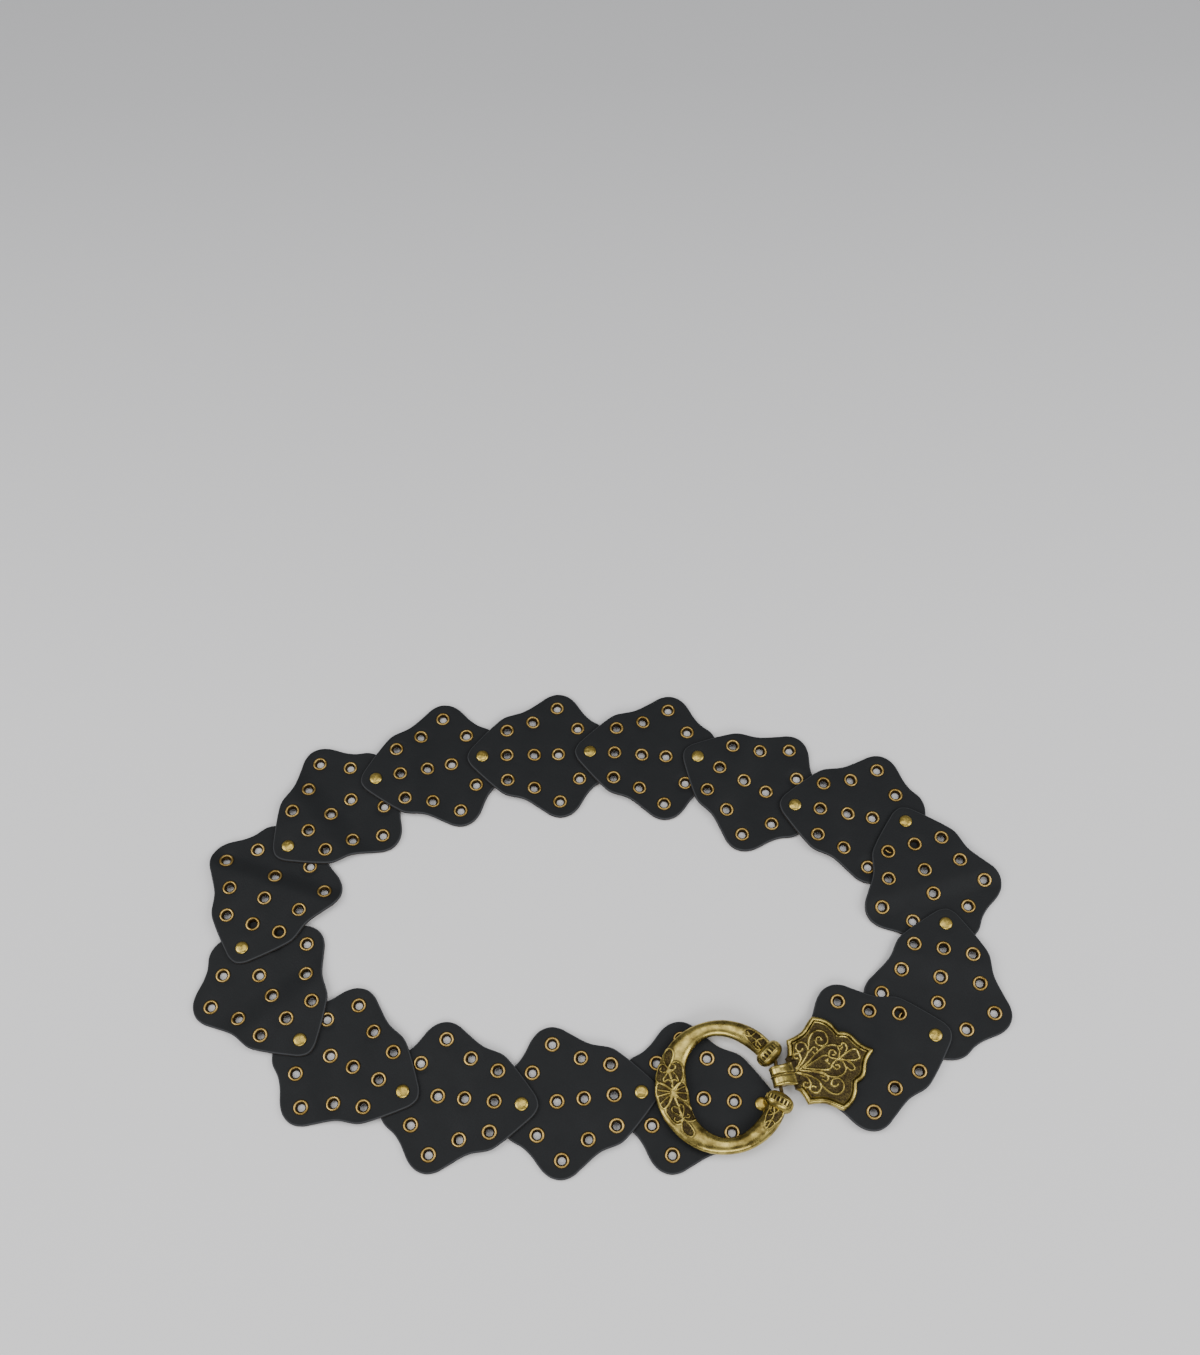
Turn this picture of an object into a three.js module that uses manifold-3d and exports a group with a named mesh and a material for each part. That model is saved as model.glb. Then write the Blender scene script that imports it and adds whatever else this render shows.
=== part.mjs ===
// Medallion belt: leather plates riveted into a loop, closed by a hinged ring clasp.
// Millimetres, +Z up. The belt lies flat on Z = 0, face up, as a closed loop.

import * as THREE from 'three';
import Module from 'manifold-3d';

const wasm = await Module();
wasm.setup();

// Driving dimensions.

const PITCH = 70;             // rivet to rivet, one plate of the chain
const LEATHER = 2;            // thickness of a plate
const GAP = 0.3;              // clearance between pieces that touch
const BACK = 0.8;             // underside of the leather above the ground
const RISE = LEATHER + GAP;   // a plate's tip rides this much higher than its wide end
const FLOOR_TOP = BACK + LEATHER;
const TIP_TOP = FLOOR_TOP + RISE;
const LAP = 1;                // how far joined solids run into each other
const TOUCH = 1e-6;           // lengths closer than this are the same

const HOLE_R = 2.4;           // clear hole of an eyelet
const RIM_R = 4.6;            // outer radius of an eyelet's rolled rim
const RIM_H = 0.7;            // how far the rim stands above the leather
const PRESSED_H = 0;          // the same where the next leather lies on it
const EYELET_SIDES = 6;
const RIM_SAMPLES = 12;       // spots round a rim that are tested for leather over it

const RIVET = { cap: 4.0, crown: 2.9, post: 1.5, back: 3.4, height: 0.9, foot: 0.5, sides: 8 };
const RIVET_HOLE_SIDES = 5;
const RIVET_HOLE_R = (RIVET.post + GAP) / Math.cos(Math.PI / RIVET_HOLE_SIDES);

// The first rivet, beside the clasp, and the direction from each plate's tip
// to its wide end, in degrees anticlockwise from +X.
const START = { x: 194.0, y: -82.2 };
const PLATES = [
  { turn: -168.1 }, { turn: -103.0 }, { turn: -77.0 }, { turn: -11.7 }, { turn: -31.6 },
  { turn: -5.4 }, { turn: 0.4 }, { turn: 10.6 }, { turn: 39.5 }, { turn: 69.9 },
  { turn: 123.8 }, { turn: 152.1 }, { turn: 171.8 }, { turn: -176.5 }, { turn: 172.6 },
];

// Half outline of a plate, from its tip to its wide end: `along` is measured
// from the tip's rivet, `out` from the centre line.
const EDGE = [
  { along: -9.9, out: 0 },
  { along: -8.2, out: 5.0 },
  { along: -4.6, out: 9.4 },
  { along: 8.7, out: 23.0 },
  { along: 14.6, out: 27.6 },
  { along: 27.0, out: 31.4 },
  { along: 38.3, out: 38.9 },
  { along: 43.7, out: 42.6 },
  { along: 49.6, out: 44.2 },
  { along: 55.6, out: 42.8 },
  { along: 60.6, out: 38.8 },
  { along: 67.1, out: 28.9 },
  { along: 71.5, out: 24.0 },
  { along: 78.4, out: 18.9 },
  { along: 81.8, out: 12.6 },
  { along: 82.6, out: 0 },
];

// Eyelets of a plate; the outer ones come in pairs. `over` marks the three that
// lie on the next plate's leather and so are blind.
const EYELETS = [
  { along: 16.0, out: 0, over: true },
  { along: 33.7, out: 0 },
  { along: 49.4, out: 0 },
  { along: 16.3, out: 17.7, over: true },
  { along: 33.3, out: 23.5 },
  { along: 49.5, out: 33.5 },
  { along: 62.5, out: 18.0 },
];

// Where a plate bends down from its raised tip to its wide end: between the rows
// of eyelets, further back where a sharp turn brings the next plate's corner in.
const CREASES = { gentle: [21.6, 42.4], sharp: [42.4, 56.0], sharpTurn: 45 };

// The first plate's eyelets further along than this are left out, under the shield.
const SHIELD_START = 60;

// The clasp: a shield on the first plate and a ring hinged to it.
// Its frame has +X from the hinge line to the first rivet.
const HINGE = {
  fromRivet: 97.3, shift: -1.55, skew: -5.2, z: 8.2, pin: 1.1, pinReach: 13.5, sides: 12,
};
const SHIELD = { skew: 2, back: TIP_TOP + GAP, field: 7.2, rim: 8.4, rimWidth: 2.1 };
const BARREL = { r: 4.3, low: -7.2, high: 4.4, sides: 10 };

// Side of the neck between the barrel and the shield: `x` from the hinge line.
const NECK = [
  { x: 0, z: HINGE.z - BARREL.r },
  { x: 0, z: HINGE.z + BARREL.r },
  { x: 4.6, z: 9.6 },
  { x: 9, z: SHIELD.field + 0.6 },
  { x: 9, z: SHIELD.back },
  { x: 3.2, z: SHIELD.back },
];

// Half outline of the shield from its point to its neck, in its own frame: `x` runs
// from the hinge point along its axis, which is skewed in the clasp's frame.
const SHIELD_EDGE = [
  { x: 59.0, y: 0 },
  { x: 56.2, y: 2.6 },
  { x: 52.3, y: 6.8 },
  { x: 50.0, y: 11.5 },
  { x: 47.2, y: 14.3 },
  { x: 43.0, y: 15.9 },
  { x: 41.0, y: 20.7 },
  { x: 37.6, y: 25.0 },
  { x: 33.8, y: 27.3 },
  { x: 30.2, y: 28.4 },
  { x: 26.6, y: 25.7 },
  { x: 22.4, y: 22.3 },
  { x: 16.9, y: 20.3 },
  { x: 11.6, y: 19.4 },
  { x: 10.9, y: 15.6 },
  { x: 9.3, y: 11.1 },
  { x: 7.4, y: 9.1 },
];

// Cast wires on the shield's field. A wire runs from `root` to a spiral round
// `eye`, which it joins at the angle `from` and follows for `sweep` degrees.
const WIRE = { width: 1.3, height: 0.6 };
const SCROLL_STEPS = { stem: 2, spiral: 5 };
const LEAF_STEPS = 7;
const SHIELD_SCROLLS = [
  { root: [18.6, 8.6], eye: [29.5, 14.2], r: 6.0, from: 160, sweep: -330, end: 1.6 },
  { root: [9.0, 0.4], eye: [17.2, 12.0], r: 3.2, from: 200, sweep: -230, end: 1.6 },
  { root: [14.0, 0.5], eye: [33.0, 4.7], r: 4.6, from: 115, sweep: -190, end: 3.6 },
  { root: [36.0, 0.6], eye: [41.0, 6.4], r: 1.9, from: -20, sweep: 200, end: 1.6 },
];
const SHIELD_LEAVES = [
  { from: 14.5, to: 30.0, half: 3.6 },
  { from: 36.5, to: 48.2, half: 3.0 },
];

// Ring: sections from a bead round to the far side, by angle from the hinge
// side. `inner` and `outer` are radii from the ring's centre, `top` its height.
const RING = { centre: -33.0, back: 5.4 };
const RING_SECTIONS = [
  { at: 24, inner: 27.6, outer: 38.2, top: 6.0 },
  { at: 38, inner: 27.1, outer: 38.8, top: 6.0 },
  { at: 52, inner: 27.3, outer: 38.9, top: 5.8 },
  { at: 66, inner: 28.1, outer: 38.8, top: 5.6 },
  { at: 80, inner: 29.1, outer: 38.8, top: 5.4 },
  { at: 95, inner: 29.4, outer: 38.7, top: 5.2 },
  { at: 112, inner: 28.0, outer: 38.8, top: 5.0 },
  { at: 128, inner: 26.0, outer: 38.9, top: 4.7 },
  { at: 143, inner: 23.9, outer: 38.8, top: 4.4 },
  { at: 160, inner: 21.4, outer: 39.1, top: 4.2 },
  { at: 180, inner: 20.1, outer: 39.5, top: 4.1 },
];
// Across a section: share of the width from the inner side, share of the height.
const CROWN = [
  { side: 0, up: 0 }, { side: 0, up: 0.42 }, { side: 0.24, up: 0.95 },
  { side: 0.76, up: 0.95 }, { side: 1, up: 0.42 }, { side: 1, up: 0 },
];
// Beads at the ring's ends, turned about the hinge line's direction and leaning
// by `lean` along the arm. The profile's rows are shares of radius and half length.
const BEAD = { x: -2.6, y: 14.2, lean: 38, r: 8.6, half: 5.6, flatten: 0.72, sides: 10 };
const BEAD_PROFILE = [{ r: 0, h: 1 }, { r: 0.7, h: 0.88 }, { r: 1, h: 0.3 }];

// The hook under the ring stands in the end plate's third centre eyelet.
const HOOK = { r: 1.5, low: 0.4, eyelet: 2, sides: 6 };

// Cast wires on the wide part of the ring: rays from a hub to both sides of the
// band, `step` degrees apart, and a petal beyond them on either hand.
const FAN = { at: 177, hub: 0.42, ends: [0.06, 0.94], rays: 4, step: 7.6 };
const PETAL = { at: 157, length: 13, half: 4.6 };

const COLOURS = {
  leather: new THREE.MeshStandardMaterial({ color: 0x303233, roughness: 0.62, metalness: 0 }),
  rivet: new THREE.MeshStandardMaterial({ color: 0xb09a4a, roughness: 0.38, metalness: 1 }),
  antique: new THREE.MeshStandardMaterial({ color: 0x8f7c44, roughness: 0.42, metalness: 1 }),
};

const rad = THREE.MathUtils.degToRad;

// Rivet centres along the chain: each plate's wide end sits on the rivet before it.
function rivetPlaces() {
  const places = [new THREE.Vector2(START.x, START.y)];
  PLATES.slice(1).forEach(({ turn }, i) => {
    const { x, y } = places[i];
    places.push(new THREE.Vector2(x - PITCH * Math.cos(rad(turn)), y - PITCH * Math.sin(rad(turn))));
  });
  return places;
}

const places = rivetPlaces();

// Solids.

// A closed mesh that is gathered from triangles, with its shared corners merged.
class Shell {
  constructor() {
    this.points = [];
    this.faces = [];
    this.seen = new Map();
  }

  point(x, y, z) {
    const key = [x, y, z].map((v) => Math.round(v * 1e4)).join();
    if (!this.seen.has(key)) {
      this.seen.set(key, this.points.length / 3);
      this.points.push(x, y, z);
    }
    return this.seen.get(key);
  }

  face(a, b, c) {
    if (a !== b && b !== c && c !== a) this.faces.push(a, b, c);
  }

  quad(a, b, c, d) {
    this.face(a, b, c);
    this.face(a, c, d);
  }

  // Walls between two rings of points; seen from outside, `high` runs anticlockwise.
  skirt(low, high, closed = true) {
    const last = closed ? low.length : low.length - 1;
    for (let i = 0; i < last; i += 1) {
      const j = (i + 1) % low.length;
      this.quad(low[i], low[j], high[j], high[i]);
    }
  }

  // A flat face whose corners run anticlockwise, seen from outside.
  fan(ring) {
    for (let i = 2; i < ring.length; i += 1) this.face(ring[0], ring[i - 1], ring[i]);
  }

  geometry() {
    const g = new THREE.BufferGeometry();
    g.setAttribute('position', new THREE.Float32BufferAttribute(this.points, 3));
    g.setIndex(this.faces);
    return g;
  }
}

function toSolid(geometry) {
  const flat = geometry.index ? geometry.toNonIndexed() : geometry;
  const p = flat.getAttribute('position');
  const shell = new Shell();
  const corner = (i) => shell.point(p.getX(i), p.getY(i), p.getZ(i));
  for (let i = 0; i < p.count; i += 3) shell.face(corner(i), corner(i + 1), corner(i + 2));
  return new wasm.Manifold(new wasm.Mesh({
    numProp: 3,
    vertProperties: new Float32Array(shell.points),
    triVerts: new Uint32Array(shell.faces),
  }));
}

function toGeometry(solid) {
  const mesh = solid.getMesh();
  const g = new THREE.BufferGeometry();
  g.setAttribute('position', new THREE.BufferAttribute(mesh.vertProperties, 3));
  g.setIndex(new THREE.BufferAttribute(mesh.triVerts, 1));
  return g;
}

function named(name, geometry, material) {
  const plain = geometry.index ? geometry.toNonIndexed() : geometry;
  plain.computeVertexNormals();
  const mesh = new THREE.Mesh(plain, material.clone());
  mesh.name = name;
  return mesh;
}

// A prism over a plan outline, between two heights.
function prism(outline, low, high) {
  const shape = new THREE.Shape(outline.map(([x, y]) => new THREE.Vector2(x, y)));
  const g = new THREE.ExtrudeGeometry(shape, { depth: high - low, bevelEnabled: false });
  return toSolid(g.translate(0, 0, low));
}

// A rod of even radius between two points.
function rod(from, to, radius, sides) {
  const a = new THREE.Vector3(...from);
  const b = new THREE.Vector3(...to);
  const g = new THREE.CylinderGeometry(radius, radius, a.distanceTo(b), sides);
  const up = new THREE.Vector3(0, 1, 0);
  const dir = b.clone().sub(a).normalize();
  g.applyQuaternion(new THREE.Quaternion().setFromUnitVectors(up, dir));
  return toSolid(g.translate(...a.add(b).multiplyScalar(0.5).toArray()));
}

// Leather plates.

function halfWidth(along) {
  const i = Math.max(1, EDGE.findIndex((row) => row.along >= along - TOUCH));
  const [a, b] = [EDGE[i - 1], EDGE[i]];
  if (b.along === a.along) return a.out;
  return a.out + (b.out - a.out) * (along - a.along) / (b.along - a.along);
}

// The stretch of the plate's outline between two lines across it, anticlockwise.
function bandOutline(start, end) {
  const rows = EDGE.filter((row) => row.along > start + TOUCH && row.along < end - TOUCH);
  const side = rows.map((row) => [row.along, row.out]);
  const low = EDGE[0].along;
  const high = EDGE[EDGE.length - 1].along;
  if (start > low) side.unshift([start, halfWidth(start)]);
  if (end < high) side.push([end, halfWidth(end)]);
  const right = side.map(([a, o]) => [a, -o]);
  const left = [...side].reverse();
  const tip = start > low ? [] : [[low, 0]];
  const far = end < high ? [] : [[high, 0]];
  return [...tip, ...right, ...far, ...left];
}

function circle(along, out, radius, sides) {
  const step = 2 * Math.PI / sides;
  return Array.from({ length: sides }, (_, i) => [
    along + radius * Math.cos(i * step), out + radius * Math.sin(i * step),
  ]);
}

// Faces of a flat region with round holes, as triples of its points.
function triangles(outline, holes) {
  const toV = (ring) => ring.map(([x, y]) => new THREE.Vector2(x, y));
  const all = [outline, ...holes].flat();
  return THREE.ShapeUtils.triangulateShape(toV(outline), holes.map(toV)).map(([a, b, c]) => {
    const [p, q, r] = [all[a], all[b], all[c]];
    const turn = (q[0] - p[0]) * (r[1] - p[1]) - (q[1] - p[1]) * (r[0] - p[0]);
    return turn > 0 ? [p, q, r] : [p, r, q];
  });
}

function plateEyelets(index) {
  const first = index === 0;
  const last = index === PLATES.length - 1;
  const rows = EYELETS.flatMap((e) => (e.out ? [e, { ...e, out: -e.out }] : [e]));
  const kept = rows.filter((e) => !first || (e.out && e.along < SHIELD_START));
  return kept.map((e) => ({ ...e, blind: Boolean(e.over) && !last }));
}

// Whether the plate before this one lies over an eyelet's rim.
function isPressed(index, e) {
  if (index === 0) return false;
  const [own, over] = [PLATES[index], PLATES[index - 1]];
  const [from, to] = [places[index], places[index - 1]];
  return circle(e.along, e.out, RIM_R + 2 * GAP, RIM_SAMPLES).some(([along, out]) => {
    const spot = new THREE.Vector2(along, out).rotateAround(new THREE.Vector2(), rad(own.turn));
    spot.add(from).sub(to).rotateAround(new THREE.Vector2(), -rad(over.turn));
    const within = spot.x > EDGE[0].along && spot.x < EDGE[EDGE.length - 1].along;
    return within && Math.abs(spot.y) < halfWidth(spot.x);
  });
}

// The two lines across a plate between which it bends, or none if it lies level.
function creasesOf(index) {
  if (index === 0 || index === PLATES.length - 1) return [];
  const turn = PLATES[index + 1].turn - PLATES[index].turn;
  const bend = Math.abs(THREE.MathUtils.euclideanModulo(turn + 180, 360) - 180);
  return bend > CREASES.sharpTurn ? CREASES.sharp : CREASES.gentle;
}

// Height of a plate's underside along it, as a function.
function undersideOf(index) {
  const creases = creasesOf(index);
  if (!creases.length) return () => BACK + (index === 0 ? RISE : 0);
  const [c0, c1] = creases;
  return (along) => BACK + RISE * THREE.MathUtils.clamp((c1 - along) / (c1 - c0), 0, 1);
}

// An eyelet's rim, and its hole unless it is blind.
function addEyelet(shell, at, e, pressed) {
  const outer = circle(e.along, e.out, RIM_R, EYELET_SIDES);
  const hole = circle(e.along, e.out, HOLE_R, EYELET_SIDES);
  const lip = at(hole, LEATHER + (pressed ? PRESSED_H : RIM_H));
  shell.skirt(at(outer, LEATHER), lip);
  if (e.blind) shell.fan(lip);
  else shell.skirt(lip, at(hole, 0));
}

// The stretch of a plate between two lines across it, open along those lines
// where another stretch goes on.
function addBand(shell, index, at, [start, end]) {
  const within = (e) => e.along > start && e.along < end;
  const eyelets = plateEyelets(index).filter(within);
  const open = eyelets.filter((e) => !e.blind);
  const posts = [0, PITCH].filter((along) => within({ along }))
    .map((along) => circle(along, 0, RIVET_HOLE_R, RIVET_HOLE_SIDES));
  const rings = (rows, r) => rows.map((e) => circle(e.along, e.out, r, EYELET_SIDES));
  const outline = bandOutline(start, end);
  triangles(outline, [...posts, ...rings(eyelets, RIM_R)]).forEach((t) => shell.face(...at(t, LEATHER)));
  triangles(outline, [...posts, ...rings(open, HOLE_R)]).forEach((t) => shell.face(...at(t, 0).reverse()));
  posts.forEach((p) => shell.skirt(at(p, LEATHER), at(p, 0)));
  eyelets.forEach((e) => addEyelet(shell, at, e, isPressed(index, e)));
  const creases = creasesOf(index);
  outline.forEach((p, i) => {
    const q = outline[(i + 1) % outline.length];
    const onCrease = p[0] === q[0] && creases.includes(p[0]);
    if (!onCrease) shell.skirt(at([p, q], 0), at([p, q], LEATHER), false);
  });
}

// One plate: bands of leather either side of its creases, in (along, out).
function plateGeometry(index) {
  const underside = undersideOf(index);
  const shell = new Shell();
  const at = (ring, lift) => ring.map(([a, o]) => shell.point(a, o, underside(a) + lift));
  const cuts = [EDGE[0].along, ...creasesOf(index), EDGE[EDGE.length - 1].along];
  cuts.slice(1).forEach((cut, i) => addBand(shell, index, at, [cuts[i], cut]));
  return shell.geometry();
}

// Rivets: a domed cap over the plates, a post through them and a flat foot below.
function rivetGeometry(underCap) {
  const profile = [
    [0, 0], [RIVET.back, 0], [RIVET.post, RIVET.foot],
    [RIVET.post, underCap], [RIVET.cap, underCap], [RIVET.crown, underCap + RIVET.height],
    [0, underCap + RIVET.height],
  ].map(([r, z]) => new THREE.Vector2(r, z));
  return new THREE.LatheGeometry(profile, RIVET.sides).rotateX(Math.PI / 2);
}

// Cast wires: a ridge of triangular section along a plan route, its foot sunk
// in the surface that `height` gives.
function wire(route, height, closed = false) {
  const shell = new Shell();
  const n = route.length;
  const sections = route.map(([x, y], i) => {
    const before = route[closed ? (i + n - 1) % n : Math.max(i - 1, 0)];
    const after = route[closed ? (i + 1) % n : Math.min(i + 1, n - 1)];
    const dir = new THREE.Vector2(after[0] - before[0], after[1] - before[1]).normalize();
    const [sx, sy] = [-dir.y * WIRE.width / 2, dir.x * WIRE.width / 2];
    const z = height(x, y);
    return [
      shell.point(x - sx, y - sy, z - WIRE.height),
      shell.point(x + sx, y + sy, z - WIRE.height),
      shell.point(x, y, z + WIRE.height),
    ];
  });
  const last = closed ? n : n - 1;
  for (let i = 0; i < last; i += 1) {
    const [a, b] = [sections[i], sections[(i + 1) % n]];
    for (let k = 0; k < 3; k += 1) {
      const m = (k + 1) % 3;
      shell.quad(a[k], a[m], b[m], b[k]);
    }
  }
  if (!closed) {
    shell.face(sections[0][0], sections[0][2], sections[0][1]);
    shell.face(...sections[n - 1]);
  }
  return toSolid(shell.geometry());
}

// A stem from `root` that runs into a spiral round `eye`.
function scrollRoute({ root, eye, r, from, sweep, end }) {
  const spiral = [];
  for (let i = 0; i <= SCROLL_STEPS.spiral; i += 1) {
    const t = i / SCROLL_STEPS.spiral;
    const a = rad(from + sweep * t);
    const radius = r + (end - r) * t;
    spiral.push([eye[0] + radius * Math.cos(a), eye[1] + radius * Math.sin(a)]);
  }
  const [sx, sy] = spiral[0];
  const reach = Math.hypot(sx - root[0], sy - root[1]) / 2;
  const way = Math.sign(sweep) * reach;
  const [bx, by] = [sx + way * Math.sin(rad(from)), sy - way * Math.cos(rad(from))];
  const stem = [];
  for (let i = 0; i < SCROLL_STEPS.stem; i += 1) {
    const t = i / SCROLL_STEPS.stem;
    const mix = (p, b, s) => (1 - t) ** 2 * p + 2 * t * (1 - t) * b + t ** 2 * s;
    stem.push([mix(root[0], bx, sx), mix(root[1], by, sy)]);
  }
  return [...stem, ...spiral];
}

// A leaf on the centre line: a pointed start that swells to a round end. Its
// width follows sin(a)·sin(a/2), whose greatest value is 4/√27.
function leafRoute({ from, to, half }) {
  const peak = 4 / Math.sqrt(27);
  return Array.from({ length: LEAF_STEPS }, (_, i) => {
    const a = 2 * Math.PI * i / LEAF_STEPS;
    const x = from + (to - from) * (1 - Math.cos(a)) / 2;
    return [x, half * Math.sin(a) * Math.sin(a / 2) / peak];
  });
}

const mirrored = (route) => route.map(([x, y]) => [x, -y]);

// Each corner of an outline moved inwards by `distance`, less where it is sharp.
function inset(outline, distance) {
  const sharpest = 0.55;
  const n = outline.length;
  return outline.map(([x, y], i) => {
    const [ax, ay] = outline[(i + n - 1) % n];
    const [bx, by] = outline[(i + 1) % n];
    const u = new THREE.Vector2(x - ax, y - ay).normalize();
    const v = new THREE.Vector2(bx - x, by - y).normalize();
    const normal = new THREE.Vector2(-u.y - v.y, u.x + v.x).normalize();
    const spread = Math.max(sharpest, Math.abs(normal.dot(new THREE.Vector2(-u.y, u.x))));
    return [x + normal.x * distance / spread, y + normal.y * distance / spread];
  });
}

// The same route in the clasp's frame, given one in the shield's own.
function onClasp(route) {
  const [c, s] = [Math.cos(rad(SHIELD.skew)), Math.sin(rad(SHIELD.skew))];
  return route.map(([x, y]) => [c * x - s * y, HINGE.shift + s * x + c * y]);
}

// A rod on the hinge line, in the clasp's frame.
function hingeRod(radius) {
  const [dx, dy] = [-Math.sin(rad(HINGE.skew)), Math.cos(rad(HINGE.skew))];
  const place = (t) => [dx * t, HINGE.shift + dy * t, HINGE.z];
  return rod(place(-HINGE.pinReach), place(HINGE.pinReach), radius, HINGE.sides);
}

// Shield's plate: a raised rim round a field that carries cast scrolls.
function shieldPlate() {
  const half = SHIELD_EDGE.map(({ x, y }) => [x, y]);
  const outline = onClasp([...half, ...mirrored(half.slice(1)).reverse()]);
  const hollow = prism(inset(outline, SHIELD.rimWidth), SHIELD.field, SHIELD.rim + LAP);
  const field = () => SHIELD.field;
  const scrolls = SHIELD_SCROLLS.map(scrollRoute);
  const wires = [
    ...scrolls.map((route) => wire(onClasp(route), field)),
    ...scrolls.map((route) => wire(onClasp(mirrored(route)), field)),
    ...SHIELD_LEAVES.map((row) => wire(onClasp(leafRoute(row)), field, true)),
  ];
  const plate = prism(outline, SHIELD.back, SHIELD.rim).subtract(hollow);
  return wires.reduce((solid, next) => solid.add(next), plate);
}

// Barrel for the hinge pin, and the neck that joins it to the shield.
function shieldBarrel() {
  const side = new THREE.Shape(NECK.map(({ x, z }) => new THREE.Vector2(x, z)));
  const width = BARREL.high - BARREL.low;
  const neck = new THREE.ExtrudeGeometry(side, { depth: width, bevelEnabled: false });
  neck.rotateX(Math.PI / 2).translate(0, BARREL.high, 0);
  const barrel = rod([0, BARREL.low, HINGE.z], [0, BARREL.high, HINGE.z], BARREL.r, BARREL.sides);
  return barrel.add(toSolid(neck));
}

// The shield with its barrel and the post that passes through the leather.
function shieldGeometry() {
  const at = HINGE.fromRivet - PITCH;
  const foot = SHIELD.back - GAP - LEATHER;
  const post = rod([at, 0, foot], [at, 0, SHIELD.back + LAP], RIVET.post, RIVET.sides);
  const solid = shieldPlate().add(shieldBarrel()).add(post);
  return toGeometry(solid.subtract(hingeRod(HINGE.pin + GAP)));
}

// The ring's section at an angle from its hinge side, between the table's rows.
function sectionAt(degrees) {
  const at = Math.min(Math.abs(degrees), 180);
  const i = Math.max(1, RING_SECTIONS.findIndex((row) => row.at >= at));
  const [a, b] = [RING_SECTIONS[i - 1], RING_SECTIONS[i]];
  const t = THREE.MathUtils.clamp((at - a.at) / (b.at - a.at), 0, 1);
  const mix = (key) => a[key] + (b[key] - a[key]) * t;
  return { inner: mix('inner'), outer: mix('outer'), top: mix('top') };
}

// Height of the ring's surface at a place in its own frame.
function ringHeight(x, y) {
  const { inner, outer, top } = sectionAt(THREE.MathUtils.radToDeg(Math.atan2(y, x - RING.centre)));
  const share = (Math.hypot(x - RING.centre, y) - inner) / (outer - inner);
  const s = THREE.MathUtils.clamp(share, 0, 1);
  const i = Math.max(1, CROWN.findIndex((row) => row.side > 0 && row.side >= s));
  const [a, b] = [CROWN[i - 1], CROWN[i]];
  return RING.back + top * (a.up + (b.up - a.up) * (s - a.side) / (b.side - a.side));
}

function ringPoint(degrees, share) {
  const { inner, outer } = sectionAt(degrees);
  const r = inner + (outer - inner) * share;
  return [RING.centre + r * Math.cos(rad(degrees)), r * Math.sin(rad(degrees))];
}

// The open band, swept through its sections from one bead to the other.
function ringBand() {
  const half = RING_SECTIONS.map((row) => row.at);
  const angles = [...half, ...half.slice(0, -1).reverse().map((a) => 360 - a)];
  const shell = new Shell();
  const rings = angles.map((a) => {
    const { inner, outer, top } = sectionAt(a > 180 ? 360 - a : a);
    return CROWN.map(({ side, up }) => {
      const r = inner + (outer - inner) * side;
      return shell.point(RING.centre + r * Math.cos(rad(a)), r * Math.sin(rad(a)), RING.back + top * up);
    });
  });
  for (let i = 1; i < rings.length; i += 1) shell.skirt(rings[i - 1], rings[i]);
  shell.fan([...rings[0]].reverse());
  shell.fan(rings[rings.length - 1]);
  return toSolid(shell.geometry());
}

function bead(side) {
  const upper = BEAD_PROFILE.map(({ r, h }) => new THREE.Vector2(r * BEAD.r, h * BEAD.half));
  const lower = upper.map(({ x, y }) => new THREE.Vector2(x, -y));
  const g = new THREE.LatheGeometry([...lower, ...upper.reverse()], BEAD.sides);
  g.rotateZ(rad(BEAD.lean * side)).scale(1, 1, BEAD.flatten);
  return toSolid(g.translate(BEAD.x, side * BEAD.y, HINGE.z));
}

// Route of the petal that lies along the band, in the ring's frame.
function petalRoute(side) {
  const { inner, outer } = sectionAt(PETAL.at);
  const mid = (inner + outer) / 2;
  return Array.from({ length: LEAF_STEPS }, (_, i) => {
    const a = 2 * Math.PI * i / LEAF_STEPS;
    const r = mid + PETAL.half * Math.cos(a);
    const turn = side * (PETAL.at + THREE.MathUtils.radToDeg(PETAL.length / 2 * Math.sin(a) / mid));
    return [RING.centre + r * Math.cos(rad(turn)), r * Math.sin(rad(turn))];
  });
}

// Routes of the rays: each has a point midway, so that it follows the crown.
function rayRoutes() {
  const start = ringPoint(FAN.at, FAN.hub);
  return FAN.ends.flatMap((share) => Array.from({ length: FAN.rays }, (_, i) => {
    const end = ringPoint(FAN.at + FAN.step * (i - (FAN.rays - 1) / 2), share);
    const middle = [(start[0] + end[0]) / 2, (start[1] + end[1]) / 2];
    return [start, middle, end];
  }));
}

// The ring without its hook, cut level at its back.
function ringSolid() {
  const wires = [
    ...rayRoutes().map((route) => wire(route, ringHeight)),
    ...[1, -1].map((side) => wire(petalRoute(side), ringHeight, true)),
  ];
  const body = ringBand().add(bead(1)).add(bead(-1));
  return wires.reduce((solid, next) => solid.add(next), body).trimByPlane([0, 0, 1], RING.back);
}

// Places.

const belt = new THREE.Group();
const label = (i) => String(i + 1).padStart(2, '0');

PLATES.forEach(({ turn }, i) => {
  const plate = named(`plate_${label(i)}`, plateGeometry(i), COLOURS.leather);
  plate.position.set(places[i].x, places[i].y, 0);
  plate.rotation.z = rad(turn);
  belt.add(plate);
});

places.forEach(({ x, y }, i) => {
  const last = i === places.length - 1;
  const underCap = (last ? FLOOR_TOP : TIP_TOP) + GAP;
  const rivet = named(`rivet_${label(i)}`, rivetGeometry(underCap), COLOURS.rivet);
  rivet.position.set(x, y, 0);
  belt.add(rivet);
});

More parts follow.
